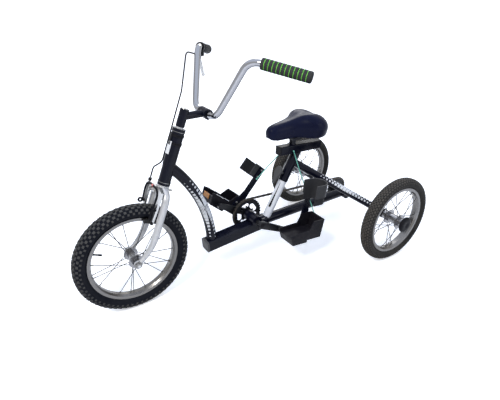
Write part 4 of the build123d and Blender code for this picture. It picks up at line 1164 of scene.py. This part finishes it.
def crank_trim():
    """Caps on the crank's ends, and the chainring's bolts."""
    shape = bmesh.new()
    for side in (-1, 1):
        turned(shape, at(BB_X, side * CRANK_CAP_Y, BB_Z), (0, side, 0), CRANK_CAP, steps=24)
    add_piece(shape, "crank_caps", *PLASTIC, "cranks", crease=40)
    shape = bmesh.new()
    for k in range(SPIDER_ARMS):
        a = 2 * pi * k / SPIDER_ARMS + SPIDER_TURN
        place = at(BB_X + SPIDER_R * cos(a), CHAIN_Y - 1.6, BB_Z + SPIDER_R * sin(a))
        hex_bolt(shape, place, (0, -1, 0), 8, 3)
    add_piece(shape, "chainring_bolts", *STEEL, "cranks", crease=30)


def hub_cover(side, body):
    """Ribbed cover over the end of a rear hub."""
    shape = bmesh.new()
    turned(shape, at(0, side * COVER_Y, REAR_R), (0, side, 0), HUB_COVER, steps=36)
    for k in range(COVER_RIBS):
        out = round_axle(2 * pi * k / COVER_RIBS)
        place = at(0, side * COVER_RIB_Y, REAR_R) + out * (COVER_RIB_R * MM)
        block(shape, place, (out, ACROSS, out.cross(ACROSS)), COVER_RIB, 0.6)
    label = LABEL[side]
    add_piece(shape, label + "_cap_cover", *PLASTIC, body, (label + "_cap",), crease=40)


steering_bolts()
crank_trim()
hub_cover(1, "left_wheel")
hub_cover(-1, "drive_axle")

# Elastic cords: knotted at both ends

CORD_R = 2.0
KNOT_R = 3.6
LEFT_CORD = [at(322, 20.6, 458), at(306, 38, 386), at(288, 58, 318), at(276, 80, 262),
             sole_point(1, -125.2, 66, 95)]
RIGHT_CORD = [at(370, -10, 446.4), at(402, -44, 388),
              sole_point(-1, CALF_S, CUFF_LOW + 2, FOOT_IN - 11)]


def elastic(name, points):
    """Cord with a knot at each end."""
    shape = bmesh.new()
    bent_wire(shape, points, CORD_R)
    for place in (points[0], points[-1]):
        bmesh.ops.create_icosphere(shape, subdivisions=2, radius=KNOT_R * MM,
                                   matrix=Matrix.Translation(place))
    bmesh.ops.recalc_face_normals(shape, faces=shape.faces)
    made = piece_from(shape, name + "_braid", MINT_CORD)
    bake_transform(made)
    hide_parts(name)


elastic("elastic_cord_left", LEFT_CORD)
elastic("elastic_cord_right", RIGHT_CORD)

# Light, floor and camera, in metres

# Lamps: name, place, size, power, tint
LAMPS = [("key", (2.0, 1.2, 2.6), 0.6, 70.0, (1.0, 0.97, 0.92)),
         ("sky", (0.0, 0.0, 4.2), 9.0, 170.0, (0.55, 0.7, 1.0)),
         ("fill", (-1.4, 2.6, 1.4), 1.6, 16.0, (0.95, 0.97, 1.0)),
         ("back", (-1.8, -2.0, 2.2), 1.4, 30.0, (1.0, 1.0, 1.0))]
LAMP_TARGET = Vector((0, 0, 0.35))
WHITE = rgb(1, 1, 1)
SKY_TINT = rgb(0.5, 0.62, 0.9)
SKY_STRENGTH = 0.32
FLOOR_SIZE = 60.0
# The floor glows less near the object, so that the shadow keeps its tone there
GLOW_START = 0.6
GLOW_FULL = 2.0
GLOW_NEAR = 0.5
GLOW_GAIN = 0.45
CAMERA_PLACE = at(1306.1, 1213.8, 1067.2)
CAMERA_AZIMUTH = 56.41
CAMERA_HEIGHT_ANGLE = 27.77
CAMERA_ROLL = 0.19
LENS = 29.96
SHIFT = (-0.0066, -0.0077)


def background_rays(tree):
    """1 for the rays that see the white background: direct, in metal and through glass."""
    path = add_node(tree, "LightPath")
    seen = math_node(tree, "MAXIMUM", path.outputs["Is Camera Ray"], path.outputs["Is Glossy Ray"])
    return math_node(tree, "MAXIMUM", seen, path.outputs["Is Transmission Ray"])


def build_world():
    """White where it is seen, soft blue light where it isn't."""
    world = bpy.data.worlds.new("studio")
    bpy.context.scene.world = world
    world.use_nodes = True
    tree = world.node_tree
    tree.nodes.clear()
    out = add_node(tree, "OutputWorld")
    soft = add_node(tree, "Background", Color=SKY_TINT, Strength=SKY_STRENGTH)
    white = add_node(tree, "Background", Color=WHITE, Strength=1.0)
    mix_shader(tree, background_rays(tree), soft, white, out)


def floor_look():
    """Floor that shows white with the object's shadow, and throws little light back."""
    ground = bpy.data.materials.new("pale_floor")
    ground.use_nodes = True
    tree = ground.node_tree
    away = ramp(tree, length_of(tree, object_place(tree)), GLOW_START, GLOW_FULL)
    glow = math_node(tree, "ADD", math_node(tree, "MULTIPLY", away, GLOW_GAIN), GLOW_NEAR)
    pale = tree.nodes["Principled BSDF"]
    settle(tree, pale, {"Base Color": rgb(0.95, 0.95, 0.95), "Roughness": 0.9, "Emission Color": WHITE,
                        "Emission Strength": glow})
    dim = add_node(tree, "BsdfDiffuse", Color=rgb(0.3, 0.3, 0.3))
    mix_shader(tree, background_rays(tree), dim, pale, tree.nodes["Material Output"])
    return ground


def build_floor():
    shape = bmesh.new()
    bmesh.ops.create_grid(shape, x_segments=2, y_segments=2, size=FLOOR_SIZE)
    piece_from(shape, "floor", floor_look())


def build_lamps():
    """Area lamps turned to the object's middle."""
    for name, place, size, power, tint in LAMPS:
        lamp = bpy.data.lights.new(name, "AREA")
        lamp.size = size
        lamp.energy = power
        lamp.color = tint
        holder = put_in_scene(name, lamp)
        holder.location = place
        holder.rotation_euler = (LAMP_TARGET - Vector(place)).to_track_quat("-Z", "Y").to_euler()


def build_camera():
    lens = bpy.data.cameras.new("photo_view")
    lens.sensor_width = 36.0
    lens.lens = LENS
    lens.shift_x, lens.shift_y = SHIFT
    holder = put_in_scene("photo_view", lens)
    az = radians(CAMERA_AZIMUTH)
    el = radians(CAMERA_HEIGHT_ANGLE)
    look_at = -Vector((cos(el) * cos(az), cos(el) * sin(az), sin(el)))
    turn = look_at.to_track_quat("-Z", "Y").to_matrix().to_4x4()
    roll = Matrix.Rotation(radians(CAMERA_ROLL), 4, "Z")
    holder.matrix_world = Matrix.Translation(CAMERA_PLACE) @ turn @ roll
    bpy.context.scene.camera = holder


build_world()
build_floor()
build_lamps()
build_camera()
bpy.context.scene.view_settings.view_transform = "Standard"
